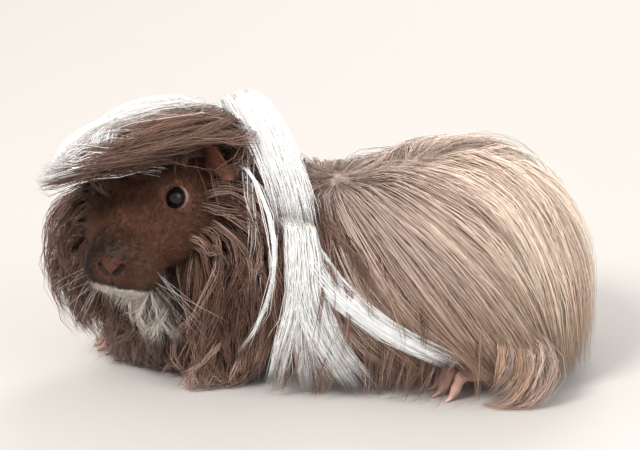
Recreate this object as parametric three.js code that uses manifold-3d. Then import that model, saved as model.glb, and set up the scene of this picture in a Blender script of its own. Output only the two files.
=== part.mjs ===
// A long-haired guinea pig, life size, crouching on the floor with its head turned to its left.
// Millimetres, +Z up. The floor is z = 0, the spine runs along X with the rump at +X,
// and the animal's left side is -Y. Every outline is taken over the tips of the coat.
import * as THREE from 'three';
import { mergeVertices } from 'three/addons/utils/BufferGeometryUtils.js';
import Module from 'manifold-3d';

const wasm = await Module();
wasm.setup();

const gap = 0.3; // clearance between two pieces that meet
const cutSize = 400; // side of the blocks that make plane cuts

// Body, from the breast at -X to the rump at +X
const breastX = -94;
const breastCutX = -49; // breast meets neck
const neckCutX = -9; // neck meets trunk
const rumpCutX = 58; // trunk meets rump
const rumpX = 131;
const crownHeight = 125; // top of the hair whorl behind the head
const backHeight = 110;
const hipHalfWidth = 70; // the coat's half width at the hips
const restSink = 0.6; // how far the hem's tips are pressed flat on the floor

// Head frame: its centre is midway between the eyes, x forward, y to its left, z up
const headCentre = new THREE.Vector3(-75.4, -41.8, 89.4);
const headYaw = 21.5; // degrees from straight out at the left side, towards the front
const headPitch = 17; // degrees that the nose points down
const eyeRadius = 4.8;
const eyeForward = 1;
const eyeAside = 14.9;
const noseForward = 38.5;
const noseDrop = 14;
const nostrilAside = 3.8;
const earForward = -21;
const earAside = 19.5;
const earRise = 8;
const earThickness = 1.7;
const earCup = 2.4; // depth of the hollow in its inner face

// Feet
const toeRadius = 2.3;
const toeTipHeight = 2.6;
const toeRootShare = 0.8; // where toes part, as a share of the foot
const toePitch = 3.6; // between neighbouring toes at their roots
const toeStagger = 1.4; // how much shorter each outer toe is
const foreToeReach = 8; // from the ball of a fore foot to the tip of its longest toe
const hindToeReach = 9;
const foreArch = 6; // height of the back of a fore foot
const hindArch = 11.5;
const shankRadius = 9; // leg at the knee
const ankleRadius = 7;
const heelRadius = 4;
const toeSplay = 14; // half width of the room that spread toes take up
const clawRadius = 1.15;
const clawLength = 7;
const smallest = 0.2; // half size of the blunt end of a swept body

const degree = Math.PI / 180;

// Shapes

function toSolid(geometry) {
  geometry.deleteAttribute('normal');
  geometry.deleteAttribute('uv');
  const merged = mergeVertices(geometry, 1e-4);
  return new wasm.Manifold(new wasm.Mesh({
    numProp: 3,
    vertProperties: new Float32Array(merged.attributes.position.array),
    triVerts: new Uint32Array(merged.index.array),
  }));
}

function toGeometry(solid) {
  const mesh = solid.getMesh();
  const geometry = new THREE.BufferGeometry();
  geometry.setAttribute('position', new THREE.BufferAttribute(new Float32Array(mesh.vertProperties), 3));
  geometry.setIndex(new THREE.BufferAttribute(new Uint32Array(mesh.triVerts), 1));
  geometry.computeVertexNormals();
  return geometry;
}

const signedPower = (value, power) => Math.sign(value) * Math.abs(value) ** power;

// A closed body swept through stations. A station is { at: [x, y, z], wide, up, down }, where wide is
// the half width across and up and down are the heights of the section above and below its centre.
// Sections are super-ellipses. They stand in one fixed plane where `upright` gives its across and up
// directions, and square to the path otherwise, with `across` as a hint for the width's direction.
function sweep(stations, options) {
  const { steps, sides, power = 2, lowPower = power, across = [0, 1, 0], upright, grow = 0 } = options;
  const { relief = () => 0, cup = 0, floor = -Infinity } = options;
  const middles = stations.map((s) => new THREE.Vector3(...s.at));
  const path = new THREE.CatmullRomCurve3(middles, false, 'centripetal');
  const sizes = new THREE.CatmullRomCurve3(
    stations.map((s) => new THREE.Vector3(s.wide, s.up, s.down ?? s.up)), false, 'catmullrom', 0.5);
  const hint = new THREE.Vector3(...across);
  const points = [];
  const index = [];
  const ringStart = (ring) => 1 + ring * sides;
  for (let ring = 0; ring <= steps; ring += 1) {
    const t = ring / steps;
    const centre = path.getPoint(t);
    const tangent = path.getTangent(t);
    if (ring === 0) centre.addScaledVector(tangent, -grow);
    if (ring === steps) centre.addScaledVector(tangent, grow);
    const size = sizes.getPoint(t);
    let side = hint.clone();
    let up = new THREE.Vector3(...(upright ?? [0, 0, 1]));
    if (!upright) {
      side.addScaledVector(tangent, -side.dot(tangent)).normalize();
      up = new THREE.Vector3().crossVectors(tangent, side);
    }
    if (ring === 0) points.push(centre.clone());
    for (let k = 0; k < sides; k += 1) {
      const angle = (2 * Math.PI * k) / sides;
      const upper = Math.sin(angle) >= 0;
      const bend = 2 / (upper ? power : lowPower);
      const swell = 1 + relief(t, angle);
      const wide = (Math.max(size.x, smallest) + grow) * swell * signedPower(Math.cos(angle), bend);
      const tall = (Math.max(upper ? size.y : size.z, smallest) + grow) * swell;
      const high = tall * signedPower(Math.sin(angle), bend) + cup * Math.cos(angle) ** 2;
      const point = centre.clone().addScaledVector(side, wide).addScaledVector(up, high);
      point.z = Math.max(point.z, floor);
      points.push(point);
    }
    if (ring === steps) points.push(centre.clone());
  }
  const last = points.length - 1;
  for (let k = 0; k < sides; k += 1) {
    const next = (k + 1) % sides;
    index.push(0, ringStart(0) + next, ringStart(0) + k);
    index.push(last, ringStart(steps) + k, ringStart(steps) + next);
    for (let ring = 0; ring < steps; ring += 1) {
      const a = ringStart(ring) + k;
      const b = ringStart(ring) + next;
      const c = ringStart(ring + 1) + k;
      const d = ringStart(ring + 1) + next;
      index.push(a, b, d, a, d, c);
    }
  }
  points[0].z = Math.max(points[0].z, floor);
  points[last].z = Math.max(points[last].z, floor);
  const geometry = new THREE.BufferGeometry().setFromPoints(points);
  geometry.setIndex(index);
  const solid = toSolid(geometry);
  return solid.volume() > 0 ? solid : toSolid(geometry.setIndex(index.reverse()));
}

function ball(centre, radii, detail = [14, 10]) {
  const geometry = new THREE.SphereGeometry(1, ...detail);
  geometry.scale(...radii);
  geometry.translate(...centre);
  return toSolid(geometry);
}

function block(low, high) {
  const size = low.map((value, axis) => high[axis] - value);
  const geometry = new THREE.BoxGeometry(...size);
  geometry.translate(...low.map((value, axis) => value + size[axis] / 2));
  return toSolid(geometry);
}

// Everything between two planes across X
const between = (lowX, highX) => block(
  [lowX, -cutSize / 2, -cutSize / 2], [highX, cutSize / 2, cutSize / 2]);

const union = (solids) => solids.reduce((sum, solid) => sum.add(solid));

// The largest piece that is left of a body after cuts
function largest(solid) {
  return solid.decompose().sort((a, b) => b.volume() - a.volume())[0];
}

// Head frame

const headMatrix = new THREE.Matrix4();
{
  const yaw = headYaw * degree;
  const pitch = headPitch * degree;
  const forward = new THREE.Vector3(
    -Math.sin(yaw) * Math.cos(pitch), -Math.cos(yaw) * Math.cos(pitch), -Math.sin(pitch));
  const left = new THREE.Vector3(Math.cos(yaw), -Math.sin(yaw), 0);
  const up = new THREE.Vector3().crossVectors(forward, left);
  headMatrix.makeBasis(forward, left, up).setPosition(headCentre);
}
const headSweep = (stations, options) => sweep(stations, options).transform(headMatrix.elements);
const headBall = (centre, radii, detail) => ball(centre, radii, detail).transform(headMatrix.elements);
const fixedFrame = { across: [0, 1, 0], upright: [0, 0, 1] };
const sideNames = { left: 1, right: -1 };

// Head

// Skull, cheeks and muzzle over their short coat: [forward, centre height, half width, up, down]
const headSections = [
  [-45, -3, 5, 5, 5],
  [-41, -4, 17, 15, 17],
  [-29, -7, 25, 23, 25],
  [-14, -10, 28, 26, 26],
  [0, -12, 22.5, 26, 24],
  [12, -13, 19, 21, 20],
  [23, -15, 17.2, 15.5, 15],
  [32, -17, 15, 11.5, 12],
  [37.6, -17.5, 11, 8, 9.5],
  [39.8, -17.5, 4, 3.6, 4],
];

function headSolid(grow = 0) {
  const stations = headSections.map(([x, z, wide, up, down]) => ({ at: [x, 0, z], wide, up, down }));
  return headSweep(stations, { ...fixedFrame, steps: 12, sides: 16, power: 1.85, lowPower: 2.1, grow });
}

// Chin with the lower lip, under the muzzle
function chinSolid(grow = 0) {
  const stations = [
    { at: [-8, 0, -37], wide: 10, up: 6, down: 4 },
    { at: [0, 0, -37], wide: 15, up: 8, down: 8 },
    { at: [14, 0, -34], wide: 13.5, up: 8, down: 9 },
    { at: [26, 0, -31], wide: 9.5, up: 5.5, down: 7 },
    { at: [31.5, 0, -29.5], wide: 4, up: 2.8, down: 3.4 },
  ];
  return headSweep(stations, { ...fixedFrame, steps: 6, sides: 12, grow });
}

// The small bare nose pad with its two slit nostrils
function noseSolid(grow = 0) {
  const pad = headBall([noseForward - 2.6, 0, -noseDrop], [3.9 + grow, 6 + grow, 3.8 + grow], [10, 7]);
  if (grow > 0) return pad;
  const nostrils = Object.values(sideNames).map((side) => headBall(
    [noseForward + 0.9, side * nostrilAside, -noseDrop + 0.4], [1.5, 1.5, 0.7], [6, 5]));
  return pad.subtract(union(nostrils));
}

const eyeCentre = (side) => [eyeForward, side * eyeAside, 0];
const eyeSolid = (side, grow = 0) => headBall(eyeCentre(side), Array(3).fill(eyeRadius + grow), [12, 8]);

// A drooping petal-shaped ear, thin and cupped, hung from its narrow root: [x, y, z, half width].
// The left one stands out to the outside of the hair, and the right one lies under the forelock.
const earFlaps = {
  left: {
    across: [0.1, 0, 1],
    sections: [[-1, -6, -1, 4], [2, 0, 3, 5], [7, 4, 7, 7.5], [11, 9, 7.5, 8.5], [12, 14.5, 3.5, 7],
      [11, 19, -2, 1.5]],
  },
  right: {
    across: [1, 0, 0.45],
    sections: [[2, -6, 3, 4], [1, 0, 4, 8.5], [-1, 6, 3, 11], [-3, 12, -1, 10.5], [-5, 16.5, -6, 7],
      [-6, 18.5, -9, 1.5]],
  },
};

function earSolid(name, grow = 0) {
  const side = sideNames[name];
  const { across, sections } = earFlaps[name];
  const stations = sections.map(([x, y, z, wide]) => (
    { at: [earForward + x, side * (earAside + y), earRise + z], wide, up: earThickness / 2 }));
  return headSweep(stations, { steps: 6, sides: 10, across, cup: -earCup * side, grow });
}

// Forelock: a thick cap of hair that falls from the crown over the brow and past the right cheek
const forelockSections = [
  { at: [-30, -10, 100], wide: 8, up: 10, down: 12 },
  { at: [-36, -12, 102], wide: 26, up: 23, down: 22 },
  { at: [-52, -24, 103], wide: 37, up: 24, down: 18 },
  { at: [-72, -37, 101], wide: 40, up: 24, down: 14 },
  { at: [-92, -43, 96], wide: 34, up: 22, down: 9 },
  { at: [-105, -45, 92], wide: 24, up: 17, down: 5 },
  { at: [-114, -45, 90], wide: 14, up: 8, down: 3 },
  { at: [-118, -45, 89.5], wide: 5, up: 2, down: 1.5 },
];
const visorFrontY = -66; // the front edge of the hair over the brow

function forelockSolid(grow = 0) {
  const strands = (t, angle) => 0.018 * Math.sin(11 * angle + 5 * t) * Math.sin(Math.PI * t);
  const hair = sweep(forelockSections, {
    across: [-0.37, 0.93, 0], upright: [0, 0, 1], steps: 9, sides: 16, power: 2.1, relief: strands, grow,
  });
  const clearBrow = sweep([
    { at: [-140, -62, 60], wide: 40, up: 30, down: 60 },
    { at: [-116, -62, 60], wide: 40, up: 33, down: 60 },
    { at: [-84, -62, 60], wide: 40, up: 45, down: 60 },
    { at: [-60, -62, 60], wide: 34, up: 51, down: 60 },
    { at: [-44, -62, 60], wide: 30, up: 56, down: 60 },
    { at: [-12, -62, 60], wide: 30, up: 54, down: 60 },
  ], { ...fixedFrame, steps: 6, sides: 12, power: 4, grow: -grow });
  const frontLimit = block([-cutSize, visorFrontY - grow, -cutSize], [cutSize, cutSize, cutSize]);
  return hair.subtract(clearBrow).intersect(frontLimit);
}

// Cheek hair

function ruffSolid(side, grow = 0) {
  const strands = (t, angle) => 0.05 * Math.sin(7 * angle + 3 * t) * t;
  const left = [
    { at: [-46, -36, 92], wide: 8, up: 8 },
    { at: [-45, -40, 84], wide: 17, up: 15 },
    { at: [-48, -42, 64], wide: 22, up: 16 },
    { at: [-52, -40, 40], wide: 24, up: 15 },
    { at: [-49, -38, 16], wide: 22, up: 12 },
    { at: [-46, -37, 3], wide: 17, up: 9 },
    { at: [-46, -37, 0.6], wide: 8, up: 5 },
  ];
  const right = [
    { at: [-91, -14, 90], wide: 6, up: 6 },
    { at: [-93, -15, 82], wide: 12, up: 13 },
    { at: [-100, -17, 65], wide: 19, up: 16 },
    { at: [-99, -17, 42], wide: 20, up: 15 },
    { at: [-94, -12, 22], wide: 17, up: 11 },
    { at: [-93, -10, 13], wide: 10, up: 6 },
  ];
  return sweep(side === 'left' ? left : right, {
    across: [1, 0, 0], steps: 6, sides: 10, power: 2.1, relief: strands, grow, floor: 0,
  });
}

// The apron of hair from the throat down between the fore feet
function throatSolid(grow = 0) {
  return sweep([
    { at: [-72, -36, 56], wide: 10, up: 8 },
    { at: [-74, -38, 48], wide: 18, up: 14 },
    { at: [-76, -29, 30], wide: 22, up: 13 },
    { at: [-75, -16, 12], wide: 22, up: 11 },
    { at: [-74, -11, 2], wide: 20, up: 9 },
    { at: [-74, -11, 0.5], wide: 9, up: 5 },
  ], { across: [0.92, -0.39, 0], steps: 5, sides: 10, power: 2.1, grow, floor: 0 });
}

// Legs

// A limb is a tapering leg, a flat-soled foot and toes that end in claws, all worked out from
// where the foot stands and where it points.
const foreFoot = { toes: 4, foot: 15, spread: 15, arch: foreArch, toeReach: foreToeReach };
const hindFoot = { toes: 3, foot: 33, spread: 15, arch: hindArch, toeReach: hindToeReach };
const limbs = {
  foreleg_left: { heel: [-44, -5, 7], knee: [-38, 0, 26], toward: [-0.9, -0.43], ...foreFoot },
  foreleg_right: { heel: [-77, 18, 7], knee: [-64, 24, 26], toward: [-0.96, -0.28], ...foreFoot },
  hindleg_left: { heel: [90, -33, 8], knee: [74, -42, 26], toward: [-0.9, -0.43], ...hindFoot },
  hindleg_right: { heel: [90, 33, 8], knee: [74, 42, 26], toward: [-0.9, 0.43], ...hindFoot },
};

function toePlan(limb) {
  const { heel, toward, toes, foot, spread, toeReach } = limb;
  const heading = Math.atan2(toward[1], toward[0]);
  return Array.from({ length: toes }, (_, i) => {
    const fan = (i - (toes - 1) / 2);
    const aim = heading + fan * spread * degree;
    const reach = foot + toeReach - Math.abs(fan) * toeStagger;
    const root = foot * toeRootShare;
    const rootX = heel[0] + toward[0] * root - Math.sin(heading) * fan * toePitch;
    const rootY = heel[1] + toward[1] * root + Math.cos(heading) * fan * toePitch;
    const along = (distance, z) => [
      rootX + Math.cos(aim) * (distance - root),
      rootY + Math.sin(aim) * (distance - root),
      z,
    ];
    return { along, reach };
  });
}

function shankSolid({ heel, knee, toward }, grow = 0) {
  return sweep([
    { at: [knee[0], knee[1], knee[2] + heelRadius + grow], wide: heelRadius, up: heelRadius },
    { at: knee, wide: shankRadius, up: shankRadius },
    { at: [heel[0], heel[1], heel[2] + ankleRadius], wide: ankleRadius, up: ankleRadius },
    { at: heel, wide: heelRadius, up: heelRadius },
  ], { steps: 3, sides: 7, across: [-toward[1], toward[0], 0], grow });
}

function limbSolid(name) {
  const limb = limbs[name];
  const { heel, toward, foot, arch } = limb;
  const ahead = (distance, z) => [heel[0] + toward[0] * distance, heel[1] + toward[1] * distance, z];
  const across = [-toward[1], toward[0], 0];
  const leg = shankSolid(limb);
  const sole = sweep([
    { at: ahead(-6, 3.6), wide: 3, up: 2.4, down: 3 },
    { at: ahead(-2, 4.4), wide: 5.5, up: 4.4, down: 5 },
    { at: ahead(foot * 0.5, arch * 0.75), wide: 6, up: 4.6, down: arch * 0.75 + restSink },
    { at: ahead(foot * 0.85, arch * 0.8), wide: 6.6, up: 4.2, down: 4 },
    { at: ahead(foot, arch * 0.7), wide: 4.6, up: 3, down: 3 },
  ], { steps: 5, sides: 9, across, upright: [0, 0, 1], floor: 0 });
  const toes = toePlan(limb).map(({ along, reach }) => sweep([
    { at: along(foot * 0.72, arch * 0.8), wide: toeRadius, up: toeRadius },
    { at: along(reach - 5.4, arch * 0.84), wide: toeRadius * 1.12, up: toeRadius * 1.12 },
    { at: along(reach - 2.2, toeTipHeight + 2.4), wide: toeRadius * 0.95, up: toeRadius * 0.95 },
    { at: along(reach, toeTipHeight), wide: toeRadius * 0.66, up: toeRadius * 0.66 },
  ], { steps: 3, sides: 6, across, floor: 0 }));
  return union([leg, sole, ...toes]);
}

// The room that a foot and its leg take up inside the coat
function limbRoom(name) {
  const { heel, toward, foot } = limbs[name];
  const ahead = (distance, z) => [heel[0] + toward[0] * distance, heel[1] + toward[1] * distance, z];
  const across = [-toward[1], toward[0], 0];
  const footRoom = sweep([
    { at: ahead(-8.5, 0), wide: 6, up: 8 },
    { at: ahead(-3, 0), wide: 9, up: 15 },
    { at: ahead(foot, 0), wide: toeSplay, up: 17 },
    { at: ahead(foot + 18, 0), wide: toeSplay + 3, up: 11 },
    { at: ahead(foot + 20, 0), wide: toeSplay, up: 6 },
  ], { steps: 4, sides: 8, power: 3.6, across, upright: [0, 0, 1] });
  return footRoom.add(shankSolid(limbs[name], 2 * gap));
}

function clawSolids(name) {
  const { toward } = limbs[name];
  return toePlan(limbs[name]).map(({ along, reach }) => sweep([
    { at: along(reach + 2 * gap, toeTipHeight - 2 * gap), wide: clawRadius, up: clawRadius },
    { at: along(reach + clawLength * 0.32, 1.1), wide: clawRadius * 0.8, up: clawRadius * 0.8 },
    { at: along(reach + clawLength * 0.6, 0.45), wide: 0.4, up: 0.4 },
  ], { steps: 2, sides: 6, across: [-toward[1], toward[0], 0], floor: 0 }));
}

// Body

// The whole coat as one form: [x, middle y, half width, top, hem height]
const bodySections = [
  [breastX, 12, 6, 22, 6],
  [-90, 11, 20, 36, 2],
  [-80, 9, 33, 58, 0],
  [-66, 6, 42, 84, 0],
  [-50, 3, 48, 112, 0],
  [-37, 1, 50, crownHeight, 0],
  [-24, 0, 51, 119, 0],
  [-12, 0, 52, 104, 0],
  [4, 0, 55, 95, 0],
  [14, 0, 57.5, 96, 0],
  [26, 0, 60.5, 98.5, 5],
  [44, 0, 65, 105, 10],
  [62, 0, 69, backHeight, 14],
  [78, 0, hipHalfWidth, 106, 9],
  [94, 0, 66, 93, 0],
  [108, 1, 54, 70, 0],
  [120, 2, 38, 44, 0],
  [128, 4, 20, 20, 0],
  [rumpX, 5, 6, 9, 1],
];
const middleShare = 0.42; // height of the widest level, as a share of the top

function bodySolid() {
  const stations = bodySections.map(([x, y, wide, top, hem]) => {
    const middle = hem + (top - hem) * middleShare;
    const sink = hem === 0 ? restSink : 0;
    return { at: [x, y, middle], wide, up: top - middle, down: middle - hem + sink };
  });
  const locks = (t, angle) => {
    const flank = Math.abs(Math.cos(angle));
    return 0.016 * flank * Math.sin(13 * angle + 16 * t) + 0.01 * flank * Math.sin(7 * angle - 9 * t);
  };
  return sweep(stations, {
    ...fixedFrame, steps: 21, sides: 22, power: 2.05, lowPower: 8, relief: locks, floor: 0,
  });
}

// A lock of the flank hair that curls under over the left hind foot
function lockSolid(grow = 0) {
  return sweep([
    { at: [88, -54, 36], wide: 5, up: 3 },
    { at: [89, -61, 28], wide: 11, up: 4.5 },
    { at: [87, -66, 16], wide: 11.5, up: 4.5 },
    { at: [80, -66, 5], wide: 10, up: 4 },
    { at: [73, -63, 1.6], wide: 6, up: 2.4 },
    { at: [68, -61, 1], wide: 2, up: 1 },
  ], { steps: 7, sides: 10, across: [1, 0, 0.2], grow, floor: 0 });
}

// Materials

const finish = (color, roughness = 0.85) => (
  new THREE.MeshStandardMaterial({ color, roughness, metalness: 0 }));
const materials = {
  darkCoat: finish(0x4a352b),
  browCoat: finish(0x6a5247),
  whiteCoat: finish(0xe9e2da),
  taupeCoat: finish(0xa98f80),
  tanCoat: finish(0xb39778),
  pinkSkin: finish(0xc99184, 0.6),
  earSkin: finish(0x7a4a3c, 0.6),
  eye: finish(0x14161f, 0.08),
  claw: finish(0xe2cdb8, 0.4),
};

// Assembly

const guineaPig = new THREE.Group();

function place(name, solid, material) {
  const mesh = new THREE.Mesh(toGeometry(solid), material);
  mesh.name = name;
  guineaPig.add(mesh);
}

// Each piece is cut by the pieces that it meets, so that later ones make room for earlier ones.
const earlier = [];
function settle(name, solid, grown, material) {
  const cut = earlier.reduce((rest, other) => rest.subtract(other), solid);
  place(name, largest(cut), material);
  if (grown) earlier.push(grown);
}

for (const [name, side] of Object.entries(sideNames)) {
  settle(`eye_${name}`, eyeSolid(side), eyeSolid(side, gap), materials.eye);
}
settle('nose', noseSolid(), noseSolid(gap), materials.earSkin);
for (const name of Object.keys(limbs)) {
  place(name, limbSolid(name), materials.pinkSkin);
  clawSolids(name).forEach((claw, i) => place(`claw_${name}_${i + 1}`, claw, materials.claw));
  earlier.push(limbRoom(name));
}
settle('chin', chinSolid().subtract(headSolid(gap)), chinSolid(gap), materials.whiteCoat);
settle('head', headSolid(), headSolid(gap), materials.darkCoat);
for (const name of Object.keys(sideNames)) {
  const room = union([1, 2, 4].map((times) => earSolid(name, times * gap)));
  settle(`ear_${name}`, earSolid(name), room, materials.earSkin);
}
settle('forelock', forelockSolid(), forelockSolid(gap), materials.browCoat);
settle('lock_left', lockSolid(), lockSolid(gap), materials.taupeCoat);
settle('cheek_left', ruffSolid('left'), ruffSolid('left', gap), materials.darkCoat);
settle('cheek_right', ruffSolid('right'), ruffSolid('right', gap), materials.darkCoat);
settle('throat', throatSolid(), throatSolid(gap), materials.browCoat);

const body = bodySolid();
const bodyParts = {
  breast: [-cutSize / 2, breastCutX, materials.browCoat],
  neck: [breastCutX, neckCutX, materials.whiteCoat],
  trunk: [neckCutX, rumpCutX, materials.taupeCoat],
  rump: [rumpCutX, cutSize / 2, materials.tanCoat],
};
for (const [name, [lowX, highX, material]] of Object.entries(bodyParts)) {
  settle(name, body.intersect(between(lowX + gap / 2, highX - gap / 2)), null, material);
}

export default guineaPig;
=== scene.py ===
import math
import bmesh
import bpy
import numpy as np
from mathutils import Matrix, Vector


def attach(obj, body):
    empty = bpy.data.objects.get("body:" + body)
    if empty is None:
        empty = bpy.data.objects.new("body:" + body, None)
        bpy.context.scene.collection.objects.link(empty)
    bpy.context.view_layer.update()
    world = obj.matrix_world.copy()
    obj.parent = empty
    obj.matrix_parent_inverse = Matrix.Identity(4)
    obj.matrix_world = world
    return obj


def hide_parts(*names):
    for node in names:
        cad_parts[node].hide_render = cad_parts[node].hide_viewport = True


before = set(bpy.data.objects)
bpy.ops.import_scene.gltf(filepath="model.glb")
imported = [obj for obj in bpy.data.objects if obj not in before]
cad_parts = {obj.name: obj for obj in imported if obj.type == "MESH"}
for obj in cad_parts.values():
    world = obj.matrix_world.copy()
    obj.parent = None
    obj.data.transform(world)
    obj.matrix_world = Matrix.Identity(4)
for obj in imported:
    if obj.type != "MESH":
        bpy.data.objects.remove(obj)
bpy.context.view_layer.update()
mm = 0.001  # shapes below are worked out in millimetres


# camera, lights and world

stageLook = {"elevation": 17.0, "distance": 1200.0, "aim": (0.0, 0.0, 62.0), "lens": 151.7, "sensor": 36.0}


def placeCamera(look):
    data = bpy.data.cameras.new("studioCamera")
    camera = bpy.data.objects.new("studioCamera", data)
    bpy.context.collection.objects.link(camera)
    tilt = math.radians(look["elevation"])
    back = np.array([0.0, -math.cos(tilt), math.sin(tilt)])
    camera.location = (np.array(look["aim"]) + back * look["distance"]) * mm
    camera.rotation_euler = (math.pi / 2 - tilt, 0.0, 0.0)
    data.lens = look["lens"]
    data.sensor_width = look["sensor"]
    data.clip_start = 0.05
    bpy.context.scene.camera = camera


def addAreaLight(name, place, aim, size, power, colour):
    data = bpy.data.lights.new(name, "AREA")
    data.shape = "DISK"
    data.size = size
    data.energy = power
    data.color = colour
    lamp = bpy.data.objects.new(name, data)
    bpy.context.collection.objects.link(lamp)
    lamp.location = place
    lamp.rotation_euler = (Vector(aim) - Vector(place)).to_track_quat("-Z", "Y").to_euler()


def linear(colour):
    c = np.asarray(colour, float) / 255.0
    return np.where(c <= 0.04045, c / 12.92, ((c + 0.055) / 1.055) ** 2.4)


studioLights = [
    {"name": "keyLight", "place": (-0.75, -0.95, 1.25), "aim": (0, 0, 0.05), "size": 0.6, "power": 28.0,
     "colour": (1.0, 0.98, 0.95)},
    {"name": "fillLight", "place": (1.1, -0.9, 0.7), "aim": (0, 0, 0.05), "size": 1.2, "power": 9.0,
     "colour": (0.97, 0.98, 1.0)},
    {"name": "rimLight", "place": (0.3, 1.2, 1.1), "aim": (0, 0, 0.07), "size": 0.8, "power": 12.0,
     "colour": (1.0, 0.98, 0.95)},
]
worldSet = {"colour": (0.93, 0.92, 0.91, 1), "strength": 0.85}

placeCamera(stageLook)
for light in studioLights:
    addAreaLight(**light)
world = bpy.data.worlds.new("paleStudio")
world.use_nodes = True
world.node_tree.nodes["Background"].inputs["Color"].default_value = worldSet["colour"]
world.node_tree.nodes["Background"].inputs["Strength"].default_value = worldSet["strength"]
bpy.context.scene.world = world
bpy.context.scene.view_settings.view_transform = "Standard"
print("camera and lights are set")


# head frame: x forward, y to its left, z up

headSet = {"centre": (-75.4, -41.8, 89.4), "yaw": 21.5, "pitch": 17.0}


def headAxes(head):
    yaw = math.radians(head["yaw"])
    pitch = math.radians(head["pitch"])
    forward = np.array([-math.sin(yaw) * math.cos(pitch), -math.cos(yaw) * math.cos(pitch), -math.sin(pitch)])
    left = np.array([math.cos(yaw), -math.sin(yaw), 0.0])
    return np.array([forward, left, np.cross(forward, left)])


headTurn = headAxes(headSet)
headCentre = np.array(headSet["centre"])


def unit(v):
    return v / np.linalg.norm(v)


def unitRows(v):
    return v / np.maximum(np.linalg.norm(v, axis=-1, keepdims=True), 1e-9)


def toHead(points):
    return (points - headCentre) @ headTurn.T


def fromHead(points):
    return headCentre + np.asarray(points, float) @ headTurn


# the animal's form as a distance field

bodyBalls = [
    ((-44, 3, 54), (36, 35, 40)),
    ((-42, -5, 84), (26, 27, 30)),
    ((8, 0, 48), (58, 45, 38)),
    ((60, 0, 50), (47, 50, 46)),
    ((86, 1, 40), (22, 38, 33)),
    ((20, 0, 27), (70, 38, 23)),
]
headBalls = [
    ((-14, 0, -8), (26, 24, 22)),
    ((-6, 12, -16), (22, 14, 17)),
    ((-6, -12, -16), (22, 14, 17)),
    ((6, 0, -13), (18, 18, 16)),
    ((18, 0, -15), (20, 14.8, 13.5)),
    ((30, 0, -17.5), (8.6, 12.2, 10.6)),
    ((28, 7, -21.5), (9, 8, 7)),
    ((28, -7, -21.5), (9, 8, 7)),
    ((20, 0, -31), (10, 8, 6)),
    ((-1, 12.5, 6.5), (8, 4.4, 3.4)),
    ((-1, -12.5, 6.5), (8, 4.4, 3.4)),
]
neckLimbs = [((-46, -6, 74), (-66, -24, 80), 29, 24)]
eyeSet = {"along": 1.0, "aside": 14.9, "radius": 4.8, "opening": 4.3, "flare": 6.5, "lid": 0.8,
          "gaze": {1: (0.64, 0.69, 0.34), -1: (0.42, -0.88, 0.2)}}
faceGrooves = [  # nostrils and mouth on the left: start, end, radii at each, softness
    ((39.9, 1.9, -15.3), (38.3, 5.0, -12.7), 0.75, 1.05, 0.8),
    ((38.4, 4.8, -12.5), (34.5, 6.9, -13.8), 0.8, 0.2, 0.8),
    ((37.6, 0.4, -24.6), (33.8, 7.5, -26.9), 0.55, 0.7, 0.9),
    ((33.8, 7.5, -26.9), (27, 12.5, -26.2), 0.7, 0.5, 0.9),
]
noseBall = ((35.9, 0, -14), (3.7, 5.6, 3.5))
feetSet = [  # left and right forefeet, then hind feet
    {"heel": (-44, -5, 7), "knee": (-38, 0, 26), "toward": (-0.9, -0.43), "toes": 4, "foot": 15},
    {"heel": (-77, 18, 7), "knee": (-64, 24, 26), "toward": (-0.96, -0.28), "toes": 4, "foot": 15},
    {"heel": (90, -33, 8), "knee": (74, -42, 26), "toward": (-0.9, -0.43), "toes": 3, "foot": 33},
    {"heel": (90, 33, 8), "knee": (74, 42, 26), "toward": (-0.9, 0.43), "toes": 3, "foot": 33},
]
toeSet = {"radius": 2.15, "spread": 15.0, "gap": 3.6, "archHind": 11.5, "archFore": 6.0}


def ballField(points, centre, radii):
    q = (points - np.array(centre)) / np.array(radii)
    far = np.sqrt((q * q).sum(1))
    steep = q / np.array(radii)
    return far * (far - 1) / np.maximum(np.sqrt((steep * steep).sum(1)), 1e-6)


def limbField(points, start, end, startRadius, endRadius):
    start = np.array(start, float)
    run = np.array(end, float) - start
    t = np.clip((points - start) @ run / (run @ run), 0, 1)
    away = points - start - t[:, None] * run
    return np.sqrt((away * away).sum(1)) - (startRadius + (endRadius - startRadius) * t)


def softMin(a, b, soft):
    h = np.clip(0.5 + 0.5 * (b - a) / soft, 0, 1)
    return b * (1 - h) + a * h - soft * h * (1 - h)


def softMax(a, b, soft):
    return -softMin(-a, -b, soft)


def joinParts(points, balls, limbs, soft):
    d = np.full(len(points), 1e3)
    for ball in balls:
        d = softMin(d, ballField(points, *ball), soft)
    for limb in limbs:
        d = softMin(d, limbField(points, *limb), soft)
    return d


def toeLine(leg, toe):
    toward = unit(np.array(leg["toward"]))
    heading = math.atan2(toward[1], toward[0])
    fan = toe - (leg["toes"] - 1) / 2
    aim = heading + math.radians(fan * toeSet["spread"])
    foot = leg["foot"]
    reach = foot + (9 if leg["toes"] == 3 else 8) - abs(fan) * 1.4
    arch = toeSet["archHind"] if leg["toes"] == 3 else toeSet["archFore"]
    base = np.array(leg["heel"][:2]) + toward * foot * 0.8
    base = base + np.array([-toward[1], toward[0]]) * fan * toeSet["gap"]

    def along(distance, height):
        spot = base + np.array([math.cos(aim), math.sin(aim)]) * (distance - foot * 0.8)
        return np.array([spot[0], spot[1], height])
    return along, reach, arch


def limbsAlong(line):
    return [(a, b, ra, rb) for (a, ra), (b, rb) in zip(line[:-1], line[1:])]


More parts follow.
